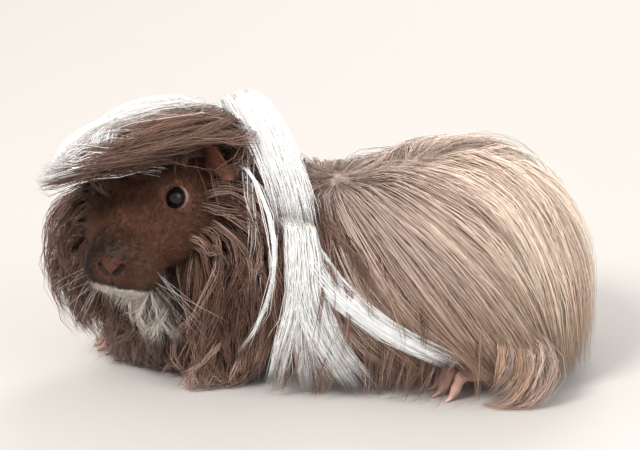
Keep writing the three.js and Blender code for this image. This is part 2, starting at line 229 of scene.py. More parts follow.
def footLimbs(leg):
    limbs = []
    r = toeSet["radius"]
    for toe in range(leg["toes"]):
        along, reach, arch = toeLine(leg, toe)
        foot = leg["foot"]
        line = [(along(foot * 0.72, arch * 0.8), r), (along(reach - 5.4, arch * 0.84), r * 1.1),
                (along(reach - 2.2, 5.0), r * 0.92), (along(reach, 2.7), r * 0.62)]
        limbs += limbsAlong(line)
    toward = unit(np.array([*leg["toward"], 0.0]))
    square = np.array([-toward[1], toward[0], 0.0])
    heel = np.array([*leg["heel"][:2], 0.0])
    for side in (-1, 1):
        line = [(heel - toward * 2 + square * side + (0, 0, 4.4), 4.0),
                (heel + toward * foot * 0.5 + square * side * 1.8 + (0, 0, arch * 0.72), 3.9),
                (heel + toward * foot * 0.85 + square * side * 2.4 + (0, 0, arch * 0.78), 3.5)]
        limbs += limbsAlong(line)
    knee = np.array(leg["knee"], float)
    limbs.append((knee, heel + (0, 0, 8), 9.5, 6.0))
    return limbs


feet = []
for leg in feetSet:
    limbs = footLimbs(leg)
    spots = np.array([limb[0] for limb in limbs] + [limb[1] for limb in limbs])
    feet.append((limbs, spots.min(0) - 14, spots.max(0) + 14))


def eyeGaze(side):
    return unit(np.array(eyeSet["gaze"][side]))


def eyeCentre(side):
    return np.array([eyeSet["along"], eyeSet["aside"] * side, 0.0])


def sideways(point, side):
    return point[0], point[1] * side, point[2]


def faceCuts(local, d):
    near = (np.abs(local - (4, 0, 0)) < (14, 30, 13)).all(1)
    if near.any():
        p = local[near]
        e = d[near]
        for side in (-1, 1):
            eye = eyeCentre(side)
            gaze = eyeGaze(side)
            away = np.sqrt(((p - eye) ** 2).sum(1))
            e = softMin(e, away - eyeSet["radius"] - eyeSet["lid"], 1.8)
            e = softMax(e, eyeSet["radius"] + 0.12 - away, 0.4)
            wide = eyeSet["opening"] + eyeSet["flare"]
            hole = limbField(p, eye + gaze * 1.5, eye + gaze * 12, eyeSet["opening"], wide)
            e = softMax(e, -hole, 0.7)
        d[near] = e
    near = (np.abs(local - (34, 0, -20)) < (14, 20, 16)).all(1)
    if near.any():
        p = local[near]
        e = softMin(d[near], ballField(p, *noseBall), 2.0)
        for side in (-1, 1):
            for start, end, startRadius, endRadius, soft in faceGrooves:
                groove = limbField(p, sideways(start, side), sideways(end, side), startRadius, endRadius)
                e = softMax(e, -groove, soft)
        e = softMax(e, -limbField(p, (40.0, 0, -16.5), (38.2, 0, -24.5), 0.35, 0.5), 0.9)
        d[near] = e
    return d


def skinField(points, fine=True):
    d = joinParts(points, bodyBalls, neckLimbs, 12.0)
    local = toHead(points)
    near = (np.abs(local - (0, 0, -10)) < (62, 48, 48)).all(1)
    if near.any():
        e = joinParts(local[near], headBalls, [], 6.5)
        if fine:
            e = faceCuts(local[near], e)
        soft = 10.0 * np.clip((10 - local[near][:, 0]) / 20, 0.05, 1)
        d[near] = softMin(d[near], e, soft)
    for limbs, low, high in feet:
        near = ((points > low) & (points < high)).all(1)
        if near.any():
            d[near] = softMin(d[near], joinParts(points[near], [], limbs, 1.3), 3.0)
    return softMax(d, 0.35 - points[:, 2], 0.6)


def roughField(points):  # without the fine cuts of the face
    return skinField(points, False)


def fieldSlope(points, step=0.25, field=skinField):
    slope = np.zeros_like(points)
    for axis in range(3):
        shift = np.zeros(3)
        shift[axis] = step
        slope[:, axis] = field(points + shift) - field(points - shift)
    return unitRows(slope)


def settleOn(points, rounds=3, reach=1.5, height=0.0):
    for _ in range(rounds):
        d = skinField(points) - height
        points = points - fieldSlope(points) * np.clip(d, -reach, reach)[:, None]
    return points


def netSurface(field, low, high, step):
    low = np.array(low, float)
    count = np.ceil((np.array(high) - low) / step).astype(int) + 1
    axes = [low[i] + step * np.arange(count[i]) for i in range(3)]
    value = np.empty(count)
    aside, upward = np.meshgrid(axes[1], axes[2], indexing="ij")
    for i, x in enumerate(axes[0]):
        points = np.stack([np.full(aside.size, x), aside.ravel(), upward.ravel()], 1)
        value[i] = field(points).reshape(aside.shape)
    cells = count - 1
    total = np.zeros(tuple(cells) + (3,))
    hits = np.zeros(cells)
    faces = []
    crossings = []
    for axis in range(3):
        b, c = (axis + 1) % 3, (axis + 2) % 3
        first = np.take(value, np.arange(count[axis] - 1), axis)
        second = np.take(value, np.arange(1, count[axis]), axis)
        spot = np.argwhere((first < 0) != (second < 0))
        v0 = first[tuple(spot.T)]
        v1 = second[tuple(spot.T)]
        place = low + spot * step
        place[:, axis] += step * v0 / (v0 - v1)
        for ob in (0, 1):
            for oc in (0, 1):
                cell = spot.copy()
                cell[:, b] -= ob
                cell[:, c] -= oc
                ok = (cell[:, b] >= 0) & (cell[:, c] >= 0) & (cell[:, b] < cells[b]) & (cell[:, c] < cells[c])
                np.add.at(total, tuple(cell[ok].T), place[ok])
                np.add.at(hits, tuple(cell[ok].T), 1)
        crossings.append((axis, b, c, spot, v0 < v1))
    number = -np.ones(cells, int)
    used = np.argwhere(hits > 0)
    number[tuple(used.T)] = np.arange(len(used))
    points = total[tuple(used.T)] / hits[tuple(used.T)][:, None]
    for axis, b, c, spot, rising in crossings:
        corners = []
        for ob, oc in ((1, 1), (0, 1), (0, 0), (1, 0)):
            cell = spot.copy()
            cell[:, b] -= ob
            cell[:, c] -= oc
            corners.append(number[tuple(cell.T)])
        quad = np.stack(corners, 1)
        quad[~rising] = quad[~rising][:, ::-1]
        faces.append(quad)
    return points, np.concatenate(faces)


def meshFrom(name, points, loops, starts, scale=mm):
    mesh = bpy.data.meshes.new(name)
    mesh.vertices.add(len(points))
    mesh.vertices.foreach_set("co", (np.asarray(points) * scale).astype(np.float32).ravel())
    mesh.loops.add(len(loops))
    mesh.loops.foreach_set("vertex_index", np.asarray(loops, np.int32))
    mesh.polygons.add(len(starts))
    mesh.polygons.foreach_set("loop_start", np.asarray(starts, np.int32))
    mesh.polygons.foreach_set("use_smooth", np.ones(len(starts), bool))
    mesh.update(calc_edges=True)
    mesh.validate()
    return mesh


def pointsOf(mesh):
    flat = np.empty(len(mesh.vertices) * 3, np.float32)
    mesh.vertices.foreach_get("co", flat)
    return flat.reshape(-1, 3).astype(float) / mm


def linkPiece(name, mesh, material=None):
    piece = bpy.data.objects.new(name, mesh)
    bpy.context.collection.objects.link(piece)
    if material is not None:
        mesh.materials.append(material)
    return piece


def tellFaces(label, pieces):
    print(label, sum(len(piece.data.polygons) for piece in pieces), "faces")


# where each root lies on an unwrap of the skin, along the bent body axis and round it

bodyAxis = np.array([fromHead((42, 0, -17)), fromHead((-10, 0, -10)), (-46, -6, 66), (10, 0, 52), (70, 0, 52),
                     (112, 2, 40)])


def unwrapPlace(points):
    best = np.full(len(points), 1e9)
    place = np.zeros((len(points), 2))
    runs = np.diff(bodyAxis, axis=0)
    lengths = np.linalg.norm(runs, axis=1)
    before = np.concatenate([[0], np.cumsum(lengths)])
    for i, run in enumerate(runs):
        t = np.clip((points - bodyAxis[i]) @ run / (run @ run), 0, 1)
        away = points - bodyAxis[i] - t[:, None] * run
        far = np.linalg.norm(away, axis=1)
        aside = unit(np.cross(run / lengths[i], (0, 0, 1)))
        up = np.cross(aside, run / lengths[i])
        angle = np.arctan2(away @ aside, away @ up)
        closer = far < best
        best[closer] = far[closer]
        place[closer, 0] = (before[i] + t * lengths[i])[closer] / before[-1]
        place[closer, 1] = 0.5 + angle[closer] / (2 * math.pi)
    return place


# markings, with the painted shade on the muzzle, shared by the skin and every coat piece

# the muzzle tone is dark brown with painted shade, the ear's deep tone and the nostril slit tone are painted
# shade, and the pale flank-top and rump tones are painted light
tones = {
    "flank": (183, 159, 146), "flankDark": (132, 105, 92), "flankTip": (184, 148, 118),
    "flankTopHighlight": (226, 203, 190), "rumpPaintedLight": (246, 222, 204), "white": (255, 254, 252),
    "fringe": (134, 104, 90), "face": (118, 80, 62), "cheek": (104, 76, 64), "cheekLight": (196, 164, 150),
    "nose": (90, 54, 40), "muzzle": (46, 30, 24), "lip": (226, 200, 192), "pink": (222, 176, 164),
    "chin": (238, 228, 218),
    "earInside": (108, 64, 50), "earDeepShade": (34, 20, 16), "lid": (92, 72, 66), "lidPale": (206, 174, 166),
    "slit": (30, 16, 14), "whisker": (244, 238, 232), "grey": (214, 202, 194),
}
tones = {name: linear(value) for name, value in tones.items()}


def fade(x, start, end):
    t = np.clip((x - start) / (end - start), 0, 1)
    return t * t * (3 - 2 * t)


def mixTone(base, other, share):
    return base * (1 - share[:, None]) + np.asarray(other) * share[:, None]


def collarGap(points):
    height = [0, 23, 46, 72, 86, 98, 108, 124]
    return points[:, 0] - np.interp(points[:, 2], height, [-3, -5, -6, -7.5, -13, -20, -25, -36])


def throatCream(points):
    x, y, z = points.T
    patch = fade(-np.abs(x + 76.8 + 0.8 * (z - 40)), -14.5, -11.5) * fade(z, 19, 27) * (1 - fade(z, 60, 66))
    return patch * (y < -14) * (x < -50)


def coatColour(points):
    local = toHead(points)
    x, y, z = points.T
    gap = collarGap(points)
    colour = np.tile(tones["flank"], (len(points), 1))
    colour = mixTone(colour, tones["cheek"], 1 - fade(gap, -5, 3))
    colour = mixTone(colour, tones["white"], fade(-np.abs(gap + 3), -7.5, -5))
    inFace = fade(local[:, 0], -22, -8) * (np.abs(local[:, 1]) < 40) * fade(local[:, 2], -44, -38)
    colour = mixTone(colour, tones["face"], inFace)
    # dark brown nose bridge, with painted shade on the side of the muzzle and low on the face
    dark = 1 - fade(np.linalg.norm(local - (34, -3, -16), axis=1), 8, 22)
    dark = np.maximum(dark, 0.75 * fade(-local[:, 2], 17, 27) * fade(local[:, 0], -2, 12))
    colour = mixTone(colour, tones["muzzle"], inFace * dark)
    noseNear = 1 - fade(np.linalg.norm((local - (38, 0, -15)) * (1, 0.75, 1), axis=1), 3, 9)
    colour = mixTone(colour, tones["nose"], noseNear * inFace)
    lip = fade(-np.abs(local[:, 1] + 7), -8, -4) * fade(local[:, 0], 24, 30) * fade(-local[:, 2], 21.5, 23.5)
    colour = mixTone(colour, tones["lip"], lip * (local[:, 2] > -30))
    chin = fade(-np.abs(local[:, 1] + 3), -12, -7) * fade(-local[:, 2], 27, 29.5) * fade(local[:, 0], -16, -6)
    colour = mixTone(colour, tones["chin"], chin)
    colour = mixTone(colour, tones["chin"], throatCream(points) * (local[:, 2] < -24))
    feetLow = (1 - fade(z, 13, 20)) * ((x > 30) | (z < 9)) * (np.abs(y) < 60)
    return mixTone(colour, tones["pink"], feetLow)


# materials

def addNode(tree, kind, inputs=None, **settings):
    node = tree.nodes.new(kind)
    for key, value in settings.items():
        setattr(node, key, value)
    for key, value in (inputs or {}).items():
        if isinstance(value, bpy.types.NodeSocket):
            tree.links.new(value, node.inputs[key])
        else:
            node.inputs[key].default_value = value
    return node


def newMaterial(name, roughness, specular):
    material = bpy.data.materials.new(name)
    material.use_nodes = True
    shader = material.node_tree.nodes["Principled BSDF"]
    shader.inputs["Roughness"].default_value = roughness
    shader.inputs["Specular IOR Level"].default_value = specular
    return material, material.node_tree, shader


def objectNoise(tree, grain, detail):
    place = addNode(tree, "ShaderNodeTexCoord").outputs["Object"]
    noise = addNode(tree, "ShaderNodeTexNoise", {"Vector": place, "Scale": grain, "Detail": detail})
    return noise.outputs["Fac"]


def hairMaterial(name, roughness, grain, shadeLow, shadeHigh, specular):
    material, tree, shader = newMaterial(name, roughness, specular)
    colour = addNode(tree, "ShaderNodeAttribute", attribute_name="coat").outputs["Color"]
    shade = addNode(tree, "ShaderNodeMapRange", {
        "Value": objectNoise(tree, grain, 3.0), "From Min": 0.3, "From Max": 0.7,
        "To Min": shadeLow, "To Max": shadeHigh}).outputs["Result"]
    mix = addNode(tree, "ShaderNodeVectorMath", {0: colour, "Scale": shade}, operation="SCALE")
    tree.links.new(mix.outputs["Vector"], shader.inputs["Base Color"])
    return material


def skinMaterial():
    material = hairMaterial("bareSkin", 0.6, 700.0, 0.85, 1.12, 0.22)
    tree = material.node_tree
    place = addNode(tree, "ShaderNodeTexCoord").outputs["Object"]
    cells = addNode(tree, "ShaderNodeTexVoronoi", {"Vector": place, "Scale": 1400.0}).outputs["Distance"]
    bump = addNode(tree, "ShaderNodeBump", {"Height": cells, "Strength": 0.35, "Distance": 0.00025})
    tree.links.new(bump.outputs["Normal"], tree.nodes["Principled BSDF"].inputs["Normal"])
    return material


def mottledMaterial(name, dark, light, grain, roughness, specular=0.5):
    material, tree, shader = newMaterial(name, roughness, specular)
    mix = addNode(tree, "ShaderNodeMix", {
        "Factor": objectNoise(tree, grain, 4.0), "A": (*linear(dark), 1), "B": (*linear(light), 1),
    }, data_type="RGBA")
    tree.links.new(mix.outputs["Result"], shader.inputs["Base Color"])
    return material


silkyHair = hairMaterial("silkyHair", 0.42, 260.0, 0.9, 1.1, 0.45)
darkHair = hairMaterial("darkHair", 0.5, 260.0, 0.88, 1.12, 0.22)
shortFur = hairMaterial("shortFur", 0.55, 420.0, 0.82, 1.18, 0.22)


# skin

skinSet = {"step": 1.15, "low": (-122, -90, -1), "high": (120, 62, 122), "fineEye": 9.0, "fineNose": 17.0}


def subdivideWhere(mesh, chooser):
    bm = bmesh.new()
    bm.from_mesh(mesh)
    middles = np.array([face.calc_center_median() for face in bm.faces]) / mm
    chosen = chooser(middles)
    edges = set()
    for face, yes in zip(bm.faces, chosen):
        if yes:
            edges.update(face.edges)
    bmesh.ops.subdivide_edges(bm, edges=list(edges), cuts=1, use_grid_fill=True)
    bm.to_mesh(mesh)
    bm.free()


def fineWhere(points):
    local = toHead(points)
    nose = np.linalg.norm(local - (36, 0, -19), axis=1) < skinSet["fineNose"]
    for side in (-1, 1):
        nose |= np.linalg.norm(local - eyeCentre(side), axis=1) < skinSet["fineEye"]
    low = (points[:, 2] < 17) & (points[:, 0] > 45) & (points[:, 0] < 86)
    return nose | low | ((points[:, 2] < 12) & (points[:, 0] < -40))


def setPoints(mesh, points):
    mesh.vertices.foreach_set("co", (points * mm).astype(np.float32).ravel())
    mesh.update()


def makeSkin():
    points, quads = netSurface(skinField, skinSet["low"], skinSet["high"], skinSet["step"])
    points = settleOn(points, 3)
    mesh = meshFrom("skin", points, quads.ravel(), np.arange(0, quads.size, 4))
    subdivideWhere(mesh, fineWhere)
    points = pointsOf(mesh)
    moved = fineWhere(points)
    points[moved] = settleOn(points[moved], 3, 0.8)
    setPoints(mesh, points)
    mesh.polygons.foreach_set("use_smooth", np.ones(len(mesh.polygons), bool))
    return mesh


skinMesh = makeSkin()
print("skin", len(skinMesh.vertices), "points", len(skinMesh.polygons), "faces")


def setColour(mesh, colour):
    layer = mesh.color_attributes.get("coat") or mesh.color_attributes.new("coat", "FLOAT_COLOR", "POINT")
    values = np.ones((len(mesh.vertices), 4), np.float32)
    values[:, :3] = colour
    layer.data.foreach_set("color", values.ravel())


# ears: thin cupped petals, joined to the skin

earSet = {
    "root": (-21, 19.5, 8), "thickness": 1.0, "cup": 2.4, "rows": 26, "columns": 20,
    "opening": {"from": (9, 9, 6.2), "toward": (0.77, 0.35, 0.54), "radii": (8.0, 9.5, 4.9)},
    "left": {"across": (0.1, 0, 1),
             "line": [(-1, -6, -1, 4), (2, 0, 3, 5), (7, 4, 7, 7.5), (11, 9, 7.5, 8.5), (12, 14.5, 3.5, 7),
                      (11, 19, -2, 1.2)]},
    "right": {"across": (1, 0, 0.45),
              "line": [(2, -6, 3, 4), (1, 0, 4, 8.5), (-1, 6, 3, 11), (-3, 12, -1, 10.5), (-5, 16.5, -6, 7),
                       (-6, 18.5, -9, 1.2)]},
}


def smoothLine(rows, count):
    rows = np.array(rows, float)
    t = np.linspace(0, len(rows) - 1 - 1e-9, count)
    i = t.astype(int)
    f = (t - i)[:, None]
    pick = [rows[np.clip(i + k, 0, len(rows) - 1)] for k in (-1, 0, 1, 2)]
    a = 2 * pick[1]
    b = pick[2] - pick[0]
    c = 2 * pick[0] - 5 * pick[1] + 4 * pick[2] - pick[3]
    d = -pick[0] + 3 * pick[1] - 3 * pick[2] + pick[3]
    return 0.5 * (a + b * f + c * f * f + d * f ** 3)


def makeEar(side):
    flap = earSet["left" if side > 0 else "right"]
    line = smoothLine(flap["line"], earSet["rows"])
    root = np.array(earSet["root"], float)
    across = unit(np.array(flap["across"], float))
    spine = root + line[:, :3]
    out = unitRows(np.cross(unitRows(np.gradient(spine, axis=0)), across))
    turns = np.linspace(0, 2 * math.pi, 2 * earSet["columns"], endpoint=False)
    points = []
    rng = np.random.default_rng(5)
    ripple = rng.uniform(0, 6.28, 3)
    for i in range(earSet["rows"]):
        v = np.cos(turns)
        thick = np.sin(turns) * earSet["thickness"] * 0.5 * np.sqrt(np.clip(1.02 - v ** 4, 0.02, 1))
        wide = line[i, 3] * (1 + 0.04 * np.sin(i * 0.8 + ripple[0]))
        bend = -earSet["cup"] * (1 - v * v) + 0.5 * np.sin(i * 0.55 + v * 3 + ripple[1]) * abs(v) ** 3
        ring = spine[i] + across * (v * wide)[:, None] + out[i] * (bend + thick)[:, None]
        points.append(ring)
    points = np.concatenate(points)
    n = len(turns)
    faces = []
    for i in range(earSet["rows"] - 1):
        for j in range(n):
            k = (j + 1) % n
            faces.append((i * n + j, i * n + k, (i + 1) * n + k, (i + 1) * n + j))
    faces.append(tuple(range(n))[::-1])
    last = (earSet["rows"] - 1) * n
    faces.append(tuple(range(last, last + n)))
    if side < 0:
        points = points * (1, -1, 1)
        faces = [face[::-1] for face in faces]
    return fromHead(points), faces


def joinEars(mesh):
    bm = bmesh.new()
    bm.from_mesh(mesh)
    for side in (1, -1):
        points, faces = makeEar(side)
        verts = [bm.verts.new(tuple(p * mm)) for p in points]
        made = [bm.faces.new([verts[i] for i in face]) for face in faces]
        bmesh.ops.recalc_face_normals(bm, faces=made)
        for face in made:
            face.smooth = True
    bm.to_mesh(mesh)
    bm.free()


skinPoints = pointsOf(skinMesh)
joinEars(skinMesh)
allPoints = pointsOf(skinMesh)
allLocal = toHead(allPoints)
earPart = np.arange(len(allPoints)) >= len(skinPoints)
markingsAndShade = coatColour(allPoints)


def paintSkin():
    colour = markingsAndShade * 0.7
    colour[earPart] = tones["earInside"]
    # painted shade in the hollow at the base of the ear
    deep = fade(-np.abs(allLocal[:, 1]), -27, -17) * earPart
    colour = mixTone(colour, tones["earDeepShade"], deep)
    for side in (1, -1):
        eye = eyeCentre(side)
        far = np.linalg.norm(allLocal - eye, axis=1)
        rim = 1 - fade(far, 5.3, 6.2)
        corner = fade((allLocal - eye) @ np.array([-0.9, 0.3 * side, -0.3]), -1.5, 3.0)
        colour = mixTone(colour, tones["lid"], rim * (1 - corner))
        colour = mixTone(colour, tones["lidPale"], rim * corner)
    # nostril slits painted near black, painted shade in the grooves
    for side in (1, -1):
        start, end = faceGrooves[0][:2]
        slit = limbField(allLocal, sideways(start, side), sideways(end, side), 0.3, 0.5)
        colour = mixTone(colour, tones["slit"], 1 - fade(slit, 0.8, 1.5))
    return colour


setColour(skinMesh, paintSkin())
skin = linkPiece("skin", skinMesh, skinMaterial())
print("ears joined")


# strands: thin closed three-sided hairs with pointed tips

def runLengths(paths):
    steps = np.linalg.norm(np.diff(paths, axis=1), axis=2)
    return np.concatenate([np.zeros((len(paths), 1)), np.cumsum(steps, 1)], 1)


def resample(paths, count, length=None):
    run = runLengths(paths)
    if length is None:
        length = run[:, -1]
    length = np.minimum(length, run[:, -1])
    goal = length[:, None] * np.linspace(0, 1, count)[None, :]
    spot = (run[:, None, :] <= goal[:, :, None]).sum(2) - 1
    spot = np.clip(spot, 0, paths.shape[1] - 2)
    row = np.arange(len(paths))[:, None]
    start = run[row, spot]
    share = (goal - start) / np.maximum(run[row, spot + 1] - start, 1e-9)
    return paths[row, spot] * (1 - share[..., None]) + paths[row, spot + 1] * share[..., None]


def strandFrames(paths, out):
    along = unitRows(np.gradient(paths, axis=1))
    aside = unitRows(np.cross(along, out))
    return along, aside, unitRows(np.cross(aside, along))


def strandShape(paths, out, width):
    n, k = paths.shape[:2]
    _, aside, up = strandFrames(paths, out)
    u = np.linspace(0, 1, k)
    profile = np.interp(u, [0, 0.15, 0.7, 1], [0.6, 1.0, 0.8, 0.15])
    w = width[:, None, None] * profile[None, :, None]
    left = paths - aside * w * 0.5
    right = paths + aside * w * 0.5
    ridge = paths + up * w * 0.42
    rings = np.stack([left, right, ridge], 2)[:, :-1]
    points = np.concatenate([rings.reshape(n, (k - 1) * 3, 3), paths[:, -1:]], 1)
    per = points.shape[1]
    quads = []
    quadPlaces = []
    for i in range(k - 2):
        for j in range(3):
            a, b = i * 3 + j, i * 3 + (j + 1) % 3
            quads.append((a, a + 3, b + 3, b))
            quadPlaces.append(((u[i], j), (u[i + 1], j), (u[i + 1], j + 1), (u[i], j + 1)))
    tris = [(0, 1, 2)]
    triPlaces = [((0.0, 0.0), (-0.2, 1.5), (0.0, 3.0))]
    for j in range(3):
        a, b = (k - 2) * 3 + j, (k - 2) * 3 + (j + 1) % 3
        tris.append((a, per - 1, b))
        triPlaces.append(((u[k - 2], j), (1.0, j + 0.5), (u[k - 2], j + 1)))
    shift = (np.arange(n) * per)[:, None, None]
    quadLoops = (np.array(quads)[None] + shift).reshape(-1)
    triLoops = (np.array(tris)[None] + shift).reshape(-1)
    loops = np.concatenate([quadLoops, triLoops])
    quadStarts = np.arange(0, quadLoops.size, 4)
    starts = np.concatenate([quadStarts, quadLoops.size + np.arange(0, triLoops.size, 3)])
    third = np.array([1.0, 1 / 3])  # each strand's own patch, along it and round it
    quadUv = np.tile(np.array(quadPlaces).reshape(1, -1, 2) * third, (n, 1, 1))
    triUv = np.tile(np.array(triPlaces).reshape(1, -1, 2) * third, (n, 1, 1))
    return points.reshape(-1, 3), loops, starts, quadUv, triUv


def setPatches(mesh, name, quadUv, triUv):
    layer = mesh.uv_layers.new(name=name)
    uv = np.concatenate([quadUv.reshape(-1, 2), triUv.reshape(-1, 2)])
    layer.data.foreach_set("uv", uv.astype(np.float32).ravel())


patchSize = 0.003


def buildStrands(name, paths, out, width, colour, material):
    paths[..., 2] = np.maximum(paths[..., 2], 0.8)  # hair lies on the floor, not in it
    points, loops, starts, quadUv, triUv = strandShape(paths, out, width)
    mesh = meshFrom(name, points, loops, starts)
    tint = np.concatenate([np.repeat(colour[:, :-1], 3, axis=1), colour[:, -1:]], 1)
    setColour(mesh, tint.reshape(-1, 3))
    place = unwrapPlace(paths[:, 0])
    low, high = place.min(0), place.max(0)
    place = (0.01 + 0.975 * (place - low) / np.maximum(high - low, 1e-6))[:, None]
    setPatches(mesh, "OFBake", quadUv * patchSize + place, triUv * patchSize + place)
    return linkPiece(name, mesh, material)


def clumpStrands(guides, rng, each, spread, tight, points, short, frizz, stray=0.06, curl=0.0, lift=0.8):
    count = len(guides) * each
    which = np.repeat(np.arange(len(guides)), each)
    base = resample(guides, 14)
    out = fieldSlope(base.reshape(-1, 3), 1.0).reshape(base.shape)
    along, aside, up = strandFrames(base, out)
    u = np.linspace(0, 1, base.shape[1])[None, :, None]
    if curl > 0:
        turn = rng.uniform(0, 6.28, (len(guides), 1, 1))
        waves = rng.uniform(0.7, 1.5, (len(guides), 1, 1))
        size = curl * rng.uniform(0.3, 1.0, (len(guides), 1, 1))
        base = base + aside * size * (np.sin(waves * 6.28 * u + turn) - np.sin(turn)) * np.sqrt(u)
        base = base + up * size * 0.4 * (1 + np.cos(waves * 6.28 * u + turn)) * u
    angle = rng.uniform(0, 2 * math.pi, count)
    radius = np.sqrt(rng.uniform(0, 1, count))
    across = (np.cos(angle) * radius)[:, None, None]
    over = (np.sin(angle) * radius)[:, None, None]
    narrow = 1 + (tight - 1) * u ** 0.8
    wide = np.asarray(spread)[which][:, None, None] if np.ndim(spread) else spread
    path = base[which] + aside[which] * across * wide * narrow
    path = path + up[which] * over * wide * lift * narrow * np.clip(u * 4, 0, 1)
    path = path + along[which][:, :1] * over * wide * (1 - u)
    for wave in (1.3, 3.1):
        size = frizz * rng.normal(0, 0.55 / wave ** 0.6, (count, 1, 1))
        size = size * np.where(rng.uniform(0, 1, (count, 1, 1)) < stray, 3.5, 1.0)
        turn = rng.uniform(0, 6.28, (count, 1, 1))
        path = path + aside[which] * size * u * (np.sin(wave * 6.28 * u + turn) - np.sin(turn) * (1 - u))
        size = frizz * rng.normal(0, 0.35 / wave ** 0.6, (count, 1, 1))
        path = path + up[which] * np.abs(size) * u
    steps = np.linalg.norm(np.diff(path, axis=1), axis=2).sum(1)
    length = steps * (1 - short * rng.uniform(0, 1, count) ** 1.6)
    path = resample(path, points, length)
    outNow = resampleLike(out, points)[which]
    path[:, 0] = settleOn(path[:, 0], 3, 6.0, -0.3)
    path = keepOut(path, 0.5)
    path[..., 2] = np.maximum(path[..., 2], 0.4 + 0.3 * rng.uniform(0, 1, (count, 1)))
    return path, outNow, which


def withinCoat(made, out, which, high=15.0, top=125.5):
    flat = made[:, 2:].reshape(-1, 3)
    height = roughField(flat).reshape(len(made), -1)
    keep = (height < high).all(1) & (made[..., 2] < top).all(1)
    return made[keep], out[keep], which[keep]


def resampleLike(values, count):
    spot = np.linspace(0, values.shape[1] - 1, count).round().astype(int)
    return values[:, spot]


def keepOut(paths, height):
    n, k = paths.shape[:2]
    flat = paths[:, 1:].reshape(-1, 3)
    d = roughField(flat)
    low = d < height
    if low.any():
        flat[low] += fieldSlope(flat[low], 0.5) * (height - d[low])[:, None]
    paths[:, 1:] = flat.reshape(n, k - 1, 3)
    return paths


def rootOnSkin(paths, share=0.3):
    roots = paths[:, 0].copy()
    for _ in range(6):
        d = roughField(roots)
        roots -= fieldSlope(roots, 0.5, roughField) * np.clip(d, -9, 9)[:, None]
    u = np.linspace(0, 1, paths.shape[1])
    pull = 1 - fade(u, 0, share)
    return paths + (roots - paths[:, 0])[:, None] * pull[None, :, None]


def strandTone(base, points, rng, groups, spread, rootShade, tip=None, tipShare=0.0):
    count = len(base)
    u = np.linspace(0, 1, points)
    value = 1 + rng.normal(0, spread, (count, 1, 1))
    value = value * (1 + rng.normal(0, spread * 0.6, groups.max() + 1))[groups][:, None, None]
    # darker roots are painted shade under the coat
    shade = np.interp(u, [0, 0.25, 1], [rootShade, 0.95, 1.05])[None, :, None]
    colour = np.broadcast_to(base[:, None], (count, len(u), 3))
    if tip is not None:
        share = tipShare * fade(u, 0.45, 1.0)[None, :, None]
        colour = colour * (1 - share) + np.asarray(tip) * share
    return np.clip(colour * value * shade, 0.004, 0.95)


def varyWidth(width, count, rng):
    return width * rng.uniform(0.7, 1.2, count)


def growHair(roots, heading, layer, steer, turn, fall, steps, stride, floor, height, rise, run, ease, lift):
    points = roots.copy()
    paths = [points.copy()]
    for i in range(1, steps):
        goal, out = steer(points)
        heading = unitRows(heading * (1 - turn) + goal * turn)
        points = points + heading * stride
        goalHeight = rise + layer * height * min(1.0, i * stride / run) ** ease
        points = points + out * np.clip(goalHeight - roughField(points), fall(points), lift)[:, None]
        points[:, 2] = np.maximum(points[:, 2], floor)
        paths.append(points.copy())
    return np.stack(paths, 1)


def buildInParts(stem, parts, order, made, out, width, colour, material):
    split = np.array_split(np.argsort(order, kind="stable"), parts)
    return [buildStrands(f"{stem}{i + 1}", made[part], out[part], width[part], colour[part], material)
            for i, part in enumerate(split)]


# roots on the skin

def skinTriangles():
    skinMesh.calc_loop_triangles()
    tris = np.empty(len(skinMesh.loop_triangles) * 3, np.int32)
    skinMesh.loop_triangles.foreach_get("vertices", tris)
    return tris.reshape(-1, 3)


skinTris = skinTriangles()
skinTris = skinTris[(skinTris < len(skinPoints)).all(1)]


def rootsOn(count, weight, rng):
    corners = allPoints[skinTris]
    area = np.linalg.norm(np.cross(corners[:, 1] - corners[:, 0], corners[:, 2] - corners[:, 0]), axis=1)
    chance = area * weight(corners.mean(1))
    pick = rng.choice(len(skinTris), count, p=chance / chance.sum())
    a = rng.uniform(0, 1, (count, 2))
    a = np.where(a.sum(1, keepdims=True) > 1, 1 - a, a)
    c = corners[pick]
    return c[:, 0] + a[:, :1] * (c[:, 1] - c[:, 0]) + a[:, 1:] * (c[:, 2] - c[:, 0])


# short fur and undercoat: tufts set over the skin by geometry nodes

def tuftObject(name, blades, rows, thick, fan, bend, seed):
    rng = np.random.default_rng(seed)
    u = np.linspace(0, 1, rows)
    paths = np.zeros((blades, rows, 3))
    angle = rng.uniform(0, 6.28) + np.arange(blades) * 2 * math.pi / blades
    base = np.stack([np.cos(angle), np.sin(angle)], 1) * 1.1
    tip = base * fan + rng.normal(0, 0.35, (blades, 2))
    reach = rng.uniform(0.75, 1.0, blades)
    for i in range(blades):
        paths[i, :, 0] = base[i, 0] * (1 - u) + tip[i, 0] * u - bend * u * u
        paths[i, :, 1] = base[i, 1] * (1 - u) + tip[i, 1] * u
        paths[i, :, 2] = u * reach[i] * 10
    out = np.zeros_like(paths)
    out[..., 0] = 1.0
    points, loops, starts, quadUv, triUv = strandShape(paths, out, np.full(blades, thick))
    points[:, 2] /= 10
    mesh = meshFrom(name, points, loops, starts, 1.0)
    share = np.arange(blades)[:, None, None] * np.array([0.0, 1 / blades])
    size = np.array([0.8, 0.9 / blades])
    setPatches(mesh, "tuftPatch", (quadUv + (0.2, 0)) * size + share, (triUv + (0.2, 0)) * size + share)
    rise = mesh.attributes.new("along", "FLOAT", "POINT")
    rise.data.foreach_set("value", points[:, 2].astype(np.float32))
    return linkPiece(name, mesh)


def namedValue(tree, name, kind):
    node = addNode(tree, "GeometryNodeInputNamedAttribute", {"Name": name}, data_type=kind)
    return node.outputs["Attribute"]


